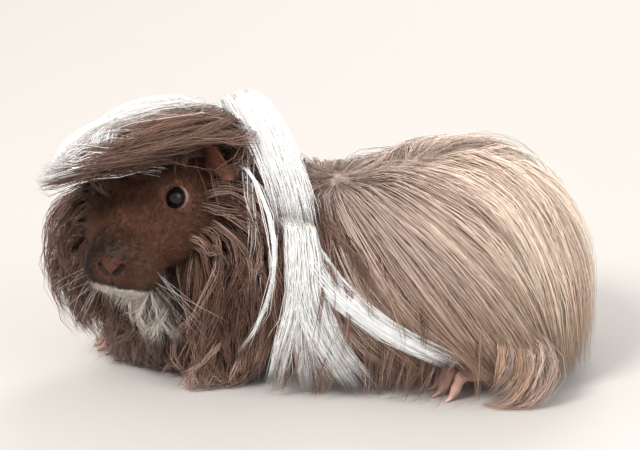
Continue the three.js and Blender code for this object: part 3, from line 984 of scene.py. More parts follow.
def vectorStep(tree, operation, inputs):
    return addNode(tree, "ShaderNodeVectorMath", inputs, operation=operation).outputs["Vector"]


def multiply(tree, a, b):
    return addNode(tree, "ShaderNodeMath", {0: a, 1: b}, operation="MULTIPLY").outputs[0]


def furTree(name, tuft, material, seed):
    tree = bpy.data.node_groups.new(name, "GeometryNodeTree")
    tree.interface.new_socket("Geometry", in_out="INPUT", socket_type="NodeSocketGeometry")
    for label in ("Tufts per Square Metre", "Length", "Thickness", "Disorder"):
        tree.interface.new_socket(label, in_out="INPUT", socket_type="NodeSocketFloat")
    tree.interface.new_socket("Geometry", in_out="OUTPUT", socket_type="NodeSocketGeometry")
    given = addNode(tree, "NodeGroupInput").outputs
    density = multiply(tree, namedValue(tree, "furDensity", "FLOAT"), given["Tufts per Square Metre"])
    spots = addNode(tree, "GeometryNodeDistributePointsOnFaces", {
        "Mesh": given["Geometry"], "Density": density, "Seed": seed}, distribute_method="RANDOM").outputs

    # each tuft leans along the lie of the coat, a little disordered
    mess = addNode(tree, "FunctionNodeRandomValue", {
        "Min": (-1, -1, -1), "Max": (1, 1, 1), "Seed": seed + 1}, data_type="FLOAT_VECTOR")
    messy = vectorStep(tree, "SCALE", {0: mess.outputs["Value"], "Scale": given["Disorder"]})
    lean = vectorStep(tree, "ADD", {0: namedValue(tree, "lie", "FLOAT_VECTOR"), 1: messy})
    alongLie = addNode(tree, "FunctionNodeAlignRotationToVector", {"Vector": lean}, axis="Z")
    faceOut = addNode(tree, "FunctionNodeAlignRotationToVector", {
        "Rotation": alongLie.outputs["Rotation"], "Vector": spots["Normal"]}, axis="X", pivot_axis="Z")

    # length varies from tuft to tuft, and so does the shade
    vary = addNode(tree, "FunctionNodeRandomValue", {2: 0.7, 3: 1.15, "Seed": seed + 2}, data_type="FLOAT")
    reach = multiply(tree, namedValue(tree, "furLength", "FLOAT"), given["Length"])
    reach = multiply(tree, reach, vary.outputs[1])
    size = addNode(tree, "ShaderNodeCombineXYZ", {
        "X": given["Thickness"], "Y": given["Thickness"], "Z": reach})
    shade = addNode(tree, "FunctionNodeRandomValue", {"Seed": seed + 3}, data_type="FLOAT")
    mark = addNode(tree, "GeometryNodeStoreNamedAttribute", {
        "Geometry": spots["Points"], "Name": "shade", "Value": shade.outputs[1],
    }, data_type="FLOAT", domain="POINT")
    source = addNode(tree, "GeometryNodeObjectInfo", {"Object": tuft})
    place = addNode(tree, "GeometryNodeInstanceOnPoints", {
        "Points": mark.outputs["Geometry"], "Instance": source.outputs["Geometry"],
        "Rotation": faceOut.outputs["Rotation"], "Scale": size.outputs["Vector"]})
    solid = addNode(tree, "GeometryNodeRealizeInstances", {"Geometry": place.outputs["Instances"]})

    # each tuft's own patch, at its root's place
    patch = vectorStep(tree, "SCALE", {0: namedValue(tree, "tuftPatch", "FLOAT_VECTOR"), "Scale": patchSize})
    spot = vectorStep(tree, "ADD", {0: namedValue(tree, "rootPlace", "FLOAT_VECTOR"), 1: patch})
    store = addNode(tree, "GeometryNodeStoreNamedAttribute", {
        "Geometry": solid.outputs["Geometry"], "Name": "OFBake", "Value": spot,
    }, data_type="FLOAT2", domain="CORNER")
    dress = addNode(tree, "GeometryNodeSetMaterial", {
        "Geometry": store.outputs["Geometry"], "Material": material})
    addNode(tree, "NodeGroupOutput", {"Geometry": dress.outputs["Geometry"]})
    return tree


def storeOn(mesh, name, kind, values):
    layer = mesh.attributes.new(name, kind, "POINT")
    key = "vector" if kind == "FLOAT_VECTOR" else "value"
    layer.data.foreach_set(key, np.ascontiguousarray(values, np.float32).ravel())


def readFrom(mesh, name, key, width):
    values = np.empty(len(mesh.vertices) * width, np.float32)
    mesh.attributes[name].data.foreach_get(key, values)
    return values.reshape(-1, width)


def growFur(name, tree, sizes, density, length, lie, rootShade):
    mesh = skinMesh.copy()
    mesh.name = name + "Base"
    setColour(mesh, markingsAndShade)
    inside = density > 0.01
    place = unwrapPlace(allPoints)
    low, high = place[inside].min(0), place[inside].max(0)
    place = np.clip(0.01 + 0.975 * (place - low) / (high - low), 0.0, 0.99)
    storeOn(mesh, "furDensity", "FLOAT", density)
    storeOn(mesh, "furLength", "FLOAT", length * mm)
    storeOn(mesh, "lie", "FLOAT_VECTOR", lie)
    storeOn(mesh, "rootPlace", "FLOAT_VECTOR", np.column_stack([place, np.zeros(len(place))]))
    host = linkPiece(name + "Base", mesh)
    modifier = host.modifiers.new("fur", "NODES")
    modifier.node_group = tree
    for item in tree.interface.items_tree:
        if item.in_out == "INPUT" and item.name in sizes:
            modifier[item.identifier] = float(sizes[item.name])
    depsgraph = bpy.context.evaluated_depsgraph_get()
    made = bpy.data.meshes.new_from_object(host.evaluated_get(depsgraph))
    host.modifiers.remove(modifier)
    bpy.data.objects.remove(host)
    shade = readFrom(made, "shade", "value", 1)
    tint = readFrom(made, "coat", "color", 4)[:, :3] * (0.62 + 0.76 * shade ** 1.3)
    along = readFrom(made, "along", "value", 1)[:, 0]
    # darker roots are painted shade under the coat
    tint = tint * np.interp(along, [0, 0.5, 1], [rootShade, 1.0, 1.25])[:, None]
    setColour(made, np.clip(tint, 0.003, 0.95))
    points = pointsOf(made)
    points[:, 2] = np.maximum(points[:, 2], 0.3)  # no tuft dips into the floor
    setPoints(made, points)
    made.name = name
    return linkPiece(name, made)


skinOut = np.empty(len(skinMesh.vertices) * 3, np.float32)
skinMesh.vertices.foreach_get("normal", skinOut)
skinOut = skinOut.reshape(-1, 3).astype(float)


def faceFlow(points, out):
    local = toHead(points)
    flow = unitRows(local - (41, 0, -17))
    for side in (1, -1):
        away = local - eyeCentre(side)
        near = np.exp(-(np.linalg.norm(away, axis=1) / 8.5) ** 2)
        flow += unitRows(away) * near[:, None] * 1.6
    flow = flow @ headTurn
    flow[:, 2] -= 0.9 * fade(np.abs(local[:, 1]) - local[:, 2], 22, 40)
    flow[:, 2] -= 1.2 * fade(-local[:, 2], 26, 33)
    flow -= out * (flow * out).sum(1, keepdims=True)
    return unitRows(flow)


def faceDensity(side):
    far = np.linalg.norm(allLocal - (38.5, 0, -15), axis=1)
    density = fade(allLocal[:, 0], -34, -24) * fade(far, 2.2, 4.4)
    density *= (allLocal[:, 1] * side >= 0) * (allPoints[:, 2] > 30)
    for eyeSide in (1, -1):
        density *= fade(np.linalg.norm(allLocal - eyeCentre(eyeSide), axis=1), 5.6, 6.6)
    density[earPart] = 0.35 * (allLocal[earPart, 1] * side > 0)
    return density


def faceLength():
    far = np.linalg.norm(allLocal - (38, 0, -16), axis=1)
    length = np.interp(far, [3, 10, 24, 38, 60], [0.7, 2.0, 4.6, 6.6, 7.0])
    length *= np.where(allLocal[:, 1] < -8, 1.6, 1.0)
    for eyeSide in (1, -1):
        far = np.linalg.norm(allLocal - eyeCentre(eyeSide), axis=1)
        length *= np.interp(far, [5, 9, 17], [0.22, 0.5, 1.0])
    length[earPart] = 1.8
    return length


furSet = {"Tufts per Square Metre": 1.1e6, "Length": 1.15, "Thickness": 0.00034, "Disorder": 0.25}
shortTuft = tuftObject("shortTuft", 4, 2, 0.95, 2.0, 0.0, 3)
shortTree = furTree("shortFurTree", shortTuft, shortFur, 11)
lieFace = faceFlow(allPoints, skinOut)
lieTilt = lieFace * 0.9 + skinOut * 0.42
earFlow = np.tile((-0.1, 0.0, -0.5), (len(allLocal), 1))
earFlow[:, 1] = np.sign(allLocal[:, 1])
earFlow = unitRows(earFlow @ headTurn)
lieTilt[earPart] = (earFlow * 0.95 + skinOut * 0.25)[earPart]
facePieces = [growFur(name, shortTree, furSet, faceDensity(side), faceLength(), lieTilt, 0.7)
              for name, side in (("faceFurLeft", 1), ("faceFurRight", -1))]
tellFaces("face fur", facePieces)


# flank, back and rump: silky hair that fans from the whorl behind the shoulders

flankSet = {
    "locks": 1180, "whorl": (7, -6, 96), "width": 0.42, "seed": 21, "turn": 0.45,
    "growth": {"steps": 26, "stride": 4.6, "floor": 0.5, "height": 9.0,
               "rise": 0.8, "run": 60, "ease": 0.8, "lift": 6},
    "clump": {"each": 11, "spread": 3.5, "tight": 0.55, "points": 7, "short": 0.3, "frizz": 0.9, "curl": 1.6},
}
flankLie = np.array([  # x, z, degrees below the rearward line
    (-26, 112, 118), (-18, 95, 105), (-8.5, 88, 92), (-12, 60, 88), (-8, 30, 80), (4, 80, 74), (19, 76, 60),
    (34, 88, 46), (48, 104, 22), (69, 95, 44), (89, 80, 62), (102, 62, 75), (111, 35, 86), (55, 48, 50),
    (34, 39, 40), (21, 25, 30), (76, 36, 57), (93, 17, 78), (4, 45, 60), (8, 28, 42), (20, 98, 34),
    (45, 108, 12), (70, 108, 14), (92, 96, 40), (50, 20, 38), (70, 15, 60),
], float)


def lieAngle(points):
    gap = (points[:, None, 0] - flankLie[:, 0]) ** 2 + ((points[:, None, 2] - flankLie[:, 1]) * 0.9) ** 2
    share = 1 / (gap + 30) ** 1.5
    return np.radians((share * flankLie[:, 2]).sum(1) / share.sum(1))


def flankStep(points):
    out = fieldSlope(points, 1.5, roughField)
    top = np.clip(out[:, 2], 0, 1)
    down = np.array([0, 0, -1.0]) + out * top[:, None]
    down[:, 1] += np.clip((points[:, 1] + 3) / 24, -1, 1) * top * 0.9
    down = unitRows(down)
    angle = lieAngle(points)
    back = np.array([1.0, 0, 0]) - out * out[:, :1]
    goal = back * np.cos(angle)[:, None] + down * np.sin(angle)[:, None]
    spread = points - np.array(flankSet["whorl"], float)
    spread -= out * (spread * out).sum(1, keepdims=True)
    near = np.exp(-(np.linalg.norm(spread, axis=1) / 16) ** 2)[:, None]
    goal = unitRows(goal) * (1 - near) + unitRows(spread) * near
    return unitRows(goal), out


def flankFall(points):  # falls onto the back, hangs free below
    return -5.0 * fade(points[:, 2], 55, 75)


def trimAtHem(paths, rng):
    x = paths[..., 0]
    y = paths[..., 1]
    hem = 16 * np.exp(-((x - 60) / 13) ** 2) + 1.5 * np.exp(-((x - 32) / 20) ** 2)
    hem = hem * np.where(y < 0, 1.0, 0.8) + rng.uniform(0.4, 6.0, (len(paths), 1))
    ok = np.cumprod(paths[..., 2] > hem, axis=1)
    return (runLengths(paths) * ok).max(1)


def flankWeight(points):
    x, _, z = points.T
    behind = fade(collarGap(points), 4, 10)
    whorlNear = np.exp(-(np.linalg.norm(points - flankSet["whorl"], axis=1) / 20) ** 2)
    share = 0.22 + 0.4 * (x < 50) + fade(z, 30, 80) + 0.8 * fade(z, 82, 94) + 2.5 * whorlNear
    return behind * share * fade(z, 12, 22) * (1 - fade(z, 102, 108) * (x < 0))


def makeFlank():
    rng = np.random.default_rng(flankSet["seed"])
    roots = rootsOn(flankSet["locks"], flankWeight, rng)
    layer = rng.uniform(0.35, 1.0, len(roots))
    heading, _ = flankStep(roots)
    paths = growHair(roots, heading, layer, flankStep, flankSet["turn"], flankFall, **flankSet["growth"])
    hem = trimAtHem(paths, rng)
    top = fade(roots[:, 2], 40, 90)
    length = np.minimum((58 + 62 * top) * rng.uniform(0.85, 1.05, len(roots)), hem)
    guides = resample(paths, 16, np.maximum(length, 14))
    made, out, which = clumpStrands(guides, rng, **flankSet["clump"])
    u = np.linspace(0, 1, made.shape[1])
    warm = rng.uniform(0, 1, len(guides))[which]
    # painted highlight on top of the back
    base = mixTone(np.tile(tones["flank"], (len(made), 1)), tones["flankTopHighlight"],
                   fade(made[:, 0, 2], 72, 94) * 0.6)
    # painted light on the rump, which turns away from the key light
    base = mixTone(base, tones["rumpPaintedLight"], fade(made[:, 4, 0], 50, 95))
    base = mixTone(base, tones["flankDark"], fade(warm, 0.68, 1.0) * 0.85)
    low = fade(-made[:, -1, 2], -50, -5) * fade(made[:, -1, 0], 10, 50)
    colour = strandTone(base, len(u), rng, which, 0.17, 0.6)
    share = (low[:, None] * fade(u, 0.4, 1.0)[None])[..., None] * 0.7
    colour = colour * (1 - share) + tones["flankTip"] * share
    width = varyWidth(flankSet["width"], len(made), rng)
    order = made[:, 0, 0] + 200 * (made[:, 0, 1] > 0)
    return buildInParts("flankHair", 4, order, made, out, width, colour, silkyHair), made


def nearShell(paths, cell=5.0):
    points = paths.reshape(-1, 3)
    points = points[points[:, 1] < -15]
    across = ((points[:, 0] + 60) / cell).astype(int)
    upward = (points[:, 2] / cell).astype(int)
    shell = np.full((42, 28), 0.0)
    for i in range(42):
        column = across == i
        for j in range(28):
            pick = points[column & (upward == j), 1]
            if len(pick) > 12:
                shell[i, j] = np.percentile(pick, 6)
    return shell


def outsideShell(paths, shell, clear, cell=5.0):
    across = np.clip((paths[..., 0] + 60) / cell - 0.5, 0, 40.9)
    upward = np.clip(paths[..., 2] / cell - 0.5, 0, 26.9)
    i, j = across.astype(int), upward.astype(int)
    f, g = across - i, upward - j
    y = (shell[i, j] * (1 - f) * (1 - g) + shell[i + 1, j] * f * (1 - g)
         + shell[i, j + 1] * (1 - f) * g + shell[i + 1, j + 1] * f * g)
    paths[..., 1] = np.minimum(paths[..., 1], y - clear)
    return paths


flankPieces, flankPaths = makeFlank()
tellFaces("flank hair", flankPieces)


undercoatSet = {"Tufts per Square Metre": 1.75e5, "Length": 1.0, "Thickness": 0.0006, "Disorder": 0.15}
coarseTuft = tuftObject("coarseTuft", 4, 2, 1.0, 1.6, 0.0, 4)
coarseTree = furTree("undercoatTree", coarseTuft, shortFur, 17)


def makeUndercoat():
    goal, _ = flankStep(allPoints)
    density = 1 - fade(allLocal[:, 0], -30, -20) * (allPoints[:, 2] > 40)
    density *= fade(allPoints[:, 2], 8, 18) * fade(skinOut[:, 2], -0.75, -0.3)
    density[earPart] = 0
    lie = goal + skinOut * 0.16
    return growFur("undercoat", coarseTree, undercoatSet, density, np.full(len(allPoints), 12.0), lie, 0.8)


undercoat = makeUndercoat()
tellFaces("undercoat", [undercoat])


def clearOfEars(made, out, which):
    local = toHead(made)
    spot = np.array(earSet["root"], float) + earSet["opening"]["from"]
    toward = unit(np.array(earSet["opening"]["toward"], float))
    away = local - spot
    ahead = (away * toward).sum(2)
    aside = (away - ahead[..., None] * toward) / earSet["opening"]["radii"]
    keep = ~(((aside ** 2).sum(2) < 1) & (ahead > -3)).any(1)
    return made[keep], out[keep], which[keep]


# mantle: nape, shoulders and breast, falling from the crown of the neck

mantleSet = {
    "locks": 430, "crown": (-36, -6, 122), "width": 0.44, "seed": 27,
    "growth": {"steps": 22, "stride": 4.0, "floor": 0.5, "height": 8.0,
               "rise": 0.8, "run": 45, "ease": 1.0, "lift": 6},
    "clump": {"each": 12, "spread": 3.2, "tight": 0.45, "points": 7, "short": 0.35, "frizz": 1.5,
              "stray": 0.12, "curl": 2.0},
}


def mantleStep(points):
    out = fieldSlope(points, 1.5, roughField)
    top = np.clip(out[:, 2], 0, 1)
    down = np.array([0, 0, -1.0]) + out * top[:, None]
    down[:, 1] += np.clip((points[:, 1] + 2) / 10, -1, 1) * top * 0.9
    away = points - np.array(mantleSet["crown"], float)
    away -= out * (away * out).sum(1, keepdims=True)
    near = np.exp(-(np.linalg.norm(away, axis=1) / 17) ** 2)[:, None]
    return unitRows(unitRows(down) * (1.05 - near) + unitRows(away) * near), out


def mantleFall(points):
    return -2.5 * fade(points[:, 2], 75, 95) * fade(points[:, 0], -38, -26)


def mantleWeight(points):
    local = toHead(points)
    gap = collarGap(points)
    behindFace = 1 - fade(local[:, 0], -34, -24) * (points[:, 2] > 42)
    height = fade(points[:, 2], 16, 30) * (0.4 + fade(points[:, 2], 50, 100))
    return behindFace * (1 - fade(gap, 3, 9)) * height


def makeMantle():
    rng = np.random.default_rng(mantleSet["seed"])
    roots = rootsOn(mantleSet["locks"], mantleWeight, rng)
    layer = rng.uniform(0.3, 1.0, len(roots))
    goal, out = mantleStep(roots)
    cheek = fade(toHead(roots)[:, 0], -38, -24)[:, None]
    heading = unitRows(goal * (1 - cheek) + faceFlow(roots, out) * cheek)
    turn = 0.3 - 0.17 * cheek
    paths = growHair(roots, heading, layer, mantleStep, turn, mantleFall, **mantleSet["growth"])
    hem = trimAtHem(paths, rng)
    length = np.minimum(rng.uniform(42, 75, len(roots)) * (1 - 0.35 * cheek[:, 0]), hem)
    guides = resample(paths, 16, np.maximum(length, 12))
    made, out, which = clumpStrands(guides, rng, **mantleSet["clump"])
    ahead = made[..., 0].max(1) < -16
    made, out, which = made[ahead], out[ahead], which[ahead]
    made, out, which = clearOfEars(*withinCoat(made, out, which, 17.0, 119.5))
    base = coatColour(roots)
    pale = (rng.uniform(0, 1, len(roots)) < 0.3) * cheek[:, 0] * 0.6
    base = mixTone(base, tones["cheekLight"], pale)[which]
    colour = strandTone(base, made.shape[1], rng, which, 0.13, 0.6)
    width = varyWidth(mantleSet["width"], len(made), rng)
    return buildInParts("mantleHair", 2, made[:, 0, 1], made, out, width, colour, silkyHair), made


mantlePieces, mantlePaths = makeMantle()
tellFaces("mantle", mantlePieces)


# cheeks: long curly hair that starts behind the eyes, flows back and then hangs

cheekSet = {
    "left": 262, "right": 110, "width": 0.36, "seed": 35,
    "growth": {"steps": 24, "stride": 3.4, "floor": 0.6, "height": 11.0,
               "rise": 1.8, "run": 24, "ease": 0.7, "lift": 4},
    "clump": {"each": 10, "spread": 2.4, "tight": 0.4, "points": 8, "short": 0.35, "frizz": 1.7,
              "stray": 0.15, "curl": 3.6},
}


def cheekStep(points):
    out = fieldSlope(points, 1.5, roughField)
    down = np.array([0, 0, -1.0]) + out * np.clip(out[:, 2:], 0, 1)
    down += np.array([-0.32, 0, 0]) * fade(-points[:, 2:], -60, -30)
    return unitRows(down), out


def makeCheek(name, side):
    rng = np.random.default_rng(cheekSet["seed"] + side)

    def weight(points):
        x, y, z = toHead(points).T
        y = y * side
        eye = np.linalg.norm(np.column_stack([x - eyeSet["along"], y - eyeSet["aside"], z]), axis=1)
        grown = fade(x, -36, -28) * (1 - fade(x, 2, 16)) * fade(y, 6, 11)
        grown = grown * fade(eye, 9 + 2 * side, 12 + 2 * side)
        return grown * (1 - fade(z, 4 * side, 8 + 4 * side)) * (points[:, 2] > 42)
    roots = rootsOn(cheekSet[name], weight, rng)
    layer = rng.uniform(0.25, 1.0, len(roots))
    heading = faceFlow(roots, fieldSlope(roots, 1.0))
    lag = rng.uniform(0.06, 0.2, (len(roots), 1))
    paths = growHair(roots, heading, layer, cheekStep, lag, lambda points: 0, **cheekSet["growth"])
    reach = np.interp(toHead(roots)[:, 0], [-30, -12, 12], [72, 60, 24]) * rng.uniform(0.7, 1.1, len(roots))
    made, out, which = clumpStrands(resample(paths, 16, reach), rng, **cheekSet["clump"])
    made, out, which = clearOfEars(*withinCoat(made, out, which, 40.0, 106.0))
    pale = (rng.uniform(0, 1, len(roots)) < 0.22 + 0.13 * side)[which] * rng.uniform(0.2, 1.0, len(made))
    base = mixTone(np.tile(tones["cheek"], (len(made), 1)), tones["cheekLight"], pale * 0.8)
    colour = strandTone(base, made.shape[1], rng, which, 0.16, 0.6, tones["cheekLight"], 0.25)
    width = varyWidth(cheekSet["width"], len(made), rng)
    return buildStrands("cheekCurls" + name.capitalize(), made, out, width, colour, darkHair)


cheekPieces = [makeCheek("left", 1), makeCheek("right", -1)]
tellFaces("cheek curls", cheekPieces)


# hair that runs in a swept tress

def tressGuides(line, out, count, rng, start, length, layer, cross=0.0, side=0.96, points=16):
    rows = smoothLine(line, 60)
    centre = rows[:, :3]
    along = unitRows(np.gradient(centre, axis=0))
    across = unitRows(np.cross(np.tile(np.array(out, float), (60, 1)), along))
    outward = unitRows(np.cross(along, across))
    v = rng.uniform(-side, side, count)
    w = rng.uniform(layer[0], layer[1], count)
    begin = rng.uniform(start[0], start[1], count)
    end = np.minimum(begin + rng.uniform(length[0], length[1], count), 1.0)
    t = begin[:, None] + (end - begin)[:, None] * np.linspace(0, 1, points)[None]
    spot = t * 58.999
    i = spot.astype(int)
    f = (spot - i)[..., None]

    def pick(values):
        return values[i] * (1 - f) + values[i + 1] * f
    wide = pick(rows[:, 3:4])
    deep = pick(rows[:, 4:5])
    drift = cross * rng.normal(0, 1, count)[:, None] * np.linspace(-0.5, 0.5, points)[None]
    sway = np.clip(v[:, None] + drift, -side, side)[..., None]
    arch = np.sqrt(np.clip(1 - 0.92 * sway * sway, 0, 1))
    path = pick(centre) + pick(across) * wide * sway + pick(outward) * deep * arch * w[:, None, None]
    return path


fringeSet = {
    "locks": 540, "width": 0.34, "seed": 31,
    "tress": {"start": (0.0, 0.55), "length": (0.3, 0.6), "layer": (0.12, 1.0), "cross": 0.5},
    "clump": {"each": 11, "spread": 2.6, "tight": 0.5, "points": 7, "short": 0.4, "frizz": 2.6,
              "stray": 0.3, "curl": 4.0},
}
tuftLine = [(-87.7, -48, 119.5), (-90.9, -52, 115.3), (-93.8, -54, 110.6), (-96.8, -55.5, 106.1),
            (-100.2, -56, 102.2)]
fringeLine = [(-31, -9, 112, 5, 8), (-38, -14, 106, 20, 17), (-52, -24, 103, 33, 22.5),
              (-72, -37, 101, 38, 22.5), (-92, -43, 96, 32, 20), (-105, -45, 92, 22, 15),
              (-114, -45, 90, 12, 7), (-118, -45, 89.5, 3, 2)]


def visorEdge(x):
    return np.interp(x, [-118, -97, -79, -65, -50, -34], [15.0, 19.5, 23.5, 26.5, 26.0, 17.5])


def cameraLevel(paths):
    return paths[..., 1] * 0.2924 + (paths[..., 2] - 62) * 0.9563


def browEdge(paths, slack):
    share = 1 - fade(paths[..., 1], -44, -26)
    over = cameraLevel(paths) - (visorEdge(paths[..., 0]) + slack)
    lifted = np.where(over > 4, over, 4 * np.exp((np.minimum(over, 4) - 4) / 8))
    paths = paths.copy()
    paths[..., 2] += np.minimum((lifted - over) * share / 0.9563, 9.0)
    return paths


def aboveBrow(paths):
    edge = visorEdge(paths[..., 0])
    return ~((cameraLevel(paths) < edge - 9) & (paths[..., 1] < -34)).any(1)


def makeFringe():
    rng = np.random.default_rng(fringeSet["seed"])
    path = tressGuides(fringeLine, (0, 0, 1), fringeSet["locks"], rng, **fringeSet["tress"])
    path = browEdge(rootOnSkin(path, 0.35), 0.0)
    path = path[aboveBrow(path)]
    tufts = smoothLine(tuftLine, 16)[None] + rng.normal(0, 1, (9, 1, 3)) * (1.6, 0.7, 1.2)
    fromTufts = len(path)
    path = np.concatenate([path, tufts])
    made, out, which = clumpStrands(path, rng, **fringeSet["clump"])
    slack = rng.normal(-0.5, 2.2, (len(made), 1))
    slack[rng.uniform(0, 1, len(made)) < 0.12] -= 6.0
    made = browEdge(made, slack)
    made, out, which = clearOfEars(*withinCoat(made, out, which, 40.0))
    middle = made[:, 4]
    level = middle[:, 1] * 0.29 + (middle[:, 2] - 62) * 0.956
    brow = np.interp(middle[:, 0], [-120, -98, -69, -40, -20], [21, 44.5, 55.6, 59, 55])
    band = np.interp(middle[:, 0], [-120, -104, -97, -88, -60], [34, 24, 12, 8, 5.5])
    edge = visorEdge(middle[:, 0])
    # painted shade along the lower edge of the fringe, a darkened cheek tone
    fringeEdgeShade = 1 - fade(level - edge + rng.normal(0, 2.5, len(made)), 1, 15)
    white = fade(level - brow + band + rng.normal(0, 2.0, len(made)), -2.5, 2.5)
    white = np.maximum(white * fade(level - edge, 1.5, 4.5), which >= fromTufts)
    base = mixTone(np.tile(tones["fringe"], (len(made), 1)), tones["cheek"] * 0.62, fringeEdgeShade)
    base = mixTone(base, tones["white"], white)
    colour = strandTone(base, made.shape[1], rng, which, 0.16, 0.6, tones["cheekLight"], 0.15)
    width = varyWidth(fringeSet["width"], len(made), rng)
    return buildInParts("fringeHair", 2, made[:, 0, 1], made, out, width, colour, darkHair)


fringePieces = makeFringe()
tellFaces("fringe", fringePieces)


# cheeks below the eyes, throat, and the rolled lock at the rump

ruffSet = {
    "width": 0.4, "seed": 41,
    "clump": {"spread": 2.8, "tight": 0.45, "points": 7, "short": 0.4, "frizz": 2.0,
              "stray": 0.18, "curl": 3.2},
}
cheekLeft = [(-38, -34, 86, 7, 8), (-38, -40, 76, 12, 15), (-41, -42, 60, 17, 15), (-44, -40, 40, 19, 14),
             (-45, -38, 16, 19, 11.5), (-45, -37, 3, 17, 8.5), (-45, -37, 0.8, 10, 5)]
cheekRight = [(-89, -14, 84, 7, 6), (-94, -15, 76, 14, 13), (-103, -17, 60, 20, 16),
              (-102, -17, 42, 20.5, 15), (-96, -12, 22, 17, 11), (-94, -10, 12, 11, 6.5)]
throatLine = [(-72, -36, 56, 10, 8), (-74, -38, 48, 18, 13.5), (-76, -29, 30, 21, 12.5),
              (-75, -16, 12, 21, 10.5), (-74, -11, 2, 19, 8.5), (-74, -11, 0.8, 9, 5)]


def makeRuff(name, line, out, locks, each, tone, light, lightShare, seedShift, how):
    rng = np.random.default_rng(ruffSet["seed"] + seedShift)
    path = rootOnSkin(tressGuides(line, out, locks, rng, **how), 0.35)
    made, outward, which = clumpStrands(path, rng, each, **ruffSet["clump"])
    pale = (rng.uniform(0, 1, len(path)) < lightShare)[which] * rng.uniform(0.3, 1.0, len(made))
    base = mixTone(np.tile(tone, (len(made), 1)), light, pale)
    colour = strandTone(base, made.shape[1], rng, which, 0.16, 0.5, light, 0.2)
    floorPale = (1 - fade(made[..., 2:], 2, 14)) * rng.uniform(0, 0.7, (len(made), 1, 1))
    floorPale = floorPale * (name != "cheekHairRight")
    colour = colour * (1 - floorPale) + tones["cheekLight"] * floorPale
    cream = throatCream(made.reshape(-1, 3)).reshape(made.shape[:2])[..., None] * (name == "throatHair")
    soft = tones["chin"] * rng.uniform(0.75, 1.0, (len(made), 1, 1))
    colour = colour * (1 - cream) + soft * cream
    width = varyWidth(ruffSet["width"], len(made), rng)
    return buildStrands(name, made, outward, width, colour, silkyHair if name == "rolledLock" else darkHair)


ruffPieces = [
    makeRuff("cheekHairLeft", cheekLeft, (0.35, -0.94, 0), 160, 11, tones["cheek"], tones["cheekLight"],
             0.25, 0, {"start": (0.2, 0.75), "length": (0.2, 0.45), "layer": (0.2, 0.85), "cross": 0.7}),
    makeRuff("cheekHairRight", cheekRight, (-0.8, -0.6, 0), 150, 11, tones["cheek"], tones["cheekLight"],
             0.06, 1, {"start": (0.0, 0.65), "length": (0.25, 0.5), "layer": (0.2, 1.0), "cross": 0.8}),
    makeRuff("throatHair", throatLine, (-0.37, -0.93, 0), 150, 12, tones["cheek"], tones["chin"],
             0.0, 2, {"start": (0.0, 0.6), "length": (0.25, 0.45), "layer": (0.2, 1.0), "cross": 0.5}),
]
tellFaces("ruff", ruffPieces)


# white collar

collarSet = {
    "width": 0.3, "seed": 51,
    "clump": {"each": 34, "tight": 0.95, "points": 9, "short": 0.45, "frizz": 1.6, "stray": 0.14},
}
collarLines = {  # path of each lock, how many guides run along it, and how far they spread
    "main": ([(-41, 10, 116), (-36, 0, 121.5), (-31, -10, 122), (-25, -22, 116.5), (-19.2, -36, 108.7),
              (-13.6, -46, 98.3), (-9.8, -51, 86.5), (-7.2, -55, 71.8)], 16, 4.2),
    "rear": ([(-9.8, -51, 86.5), (-7.2, -55, 71.8), (0, -58, 57.2), (12.8, -61, 44.7), (29.8, -63, 32.8),
              (46.9, -66, 24.5), (57.6, -67, 19.4)], 11, 2.6),
    "fanA": ([(-12, -50, 88), (-8.5, -56, 71.8), (-9.4, -58, 46), (-15, -57, 23), (-19, -50, 1.5)], 6, 3.6),
    "fanB": ([(-10, -50, 88), (-6.8, -56, 71.8), (-5.1, -58, 46), (2.1, -57, 23), (12, -50, 1.0)], 7, 4.0),
    "fanC": ([(-11, -50, 88), (-7.6, -56, 71.8), (-7.2, -59, 46), (-6, -58, 23), (-3, -51, 0.8)], 6, 3.8),
    "fanD": ([(-9, -50, 88), (-6, -56, 71.8), (-2, -60, 46), (9, -60, 24), (24, -54, 1.5)], 5, 3.8),
    "front": ([(-30.6, -42, 107.3), (-29.7, -47, 103), (-24.6, -53, 91.2), (-20.3, -57, 79.1),
               (-19.1, -59, 66.4), (-20.9, -59, 50.8), (-26.5, -58, 34.7), (-36.6, -56, 20.4)], 2, 0.8),
}


def makeCollar():
    rng = np.random.default_rng(collarSet["seed"])
    guides = []
    widths = []
    fanShare = []
    grow = np.interp(np.linspace(0, 1, 18), [0, 0.3, 1], [0.35, 0.9, 1.0])[:, None]
    for name, (path, count, spread) in collarLines.items():
        line = smoothLine(path, 18)
        for _ in range(count):
            shift = rng.normal(0, 1, 3) * (spread, 1.2, 0.6)
            guides.append(line + shift * grow)
            widths.append(spread * 0.6)
            fanShare.append(float(name.startswith("fan")))
    guides = np.array(guides)
    guides = outsideShell(guides, nearShell(np.concatenate([flankPaths, mantlePaths])), 1.0)
    guides = rootOnSkin(guides, 0.2)
    made, out, which = clumpStrands(guides, rng, spread=np.array(widths), **collarSet["clump"])
    fan = np.array(fanShare)[which]
    base = mixTone(np.tile(tones["white"], (len(made), 1)), tones["grey"], fan * 0.12)
    colour = strandTone(base, made.shape[1], rng, which, 0.04, 0.95)
    width = varyWidth(collarSet["width"], len(made), rng)
    return [buildStrands("collarHair", made, out, width, colour, silkyHair)]


collarPieces = makeCollar()
tellFaces("collar", collarPieces)

rollLine = [(88, -55, 36, 5, 3), (89, -61, 28, 10.5, 4), (87, -65, 16, 11, 4), (80, -65, 5, 9.5, 3.6),
            (73, -62, 1.6, 6, 2), (68, -61, 1, 2, 1)]
rolledLock = makeRuff("rolledLock", rollLine, (0.1, -1, 0), 26, 16, tones["flank"], tones["flankTip"],
                      0.4, 20, {"start": (0.0, 0.25), "length": (0.6, 0.9), "layer": (0.2, 1.0)})
tellFaces("rolled lock", [rolledLock])


# eyes

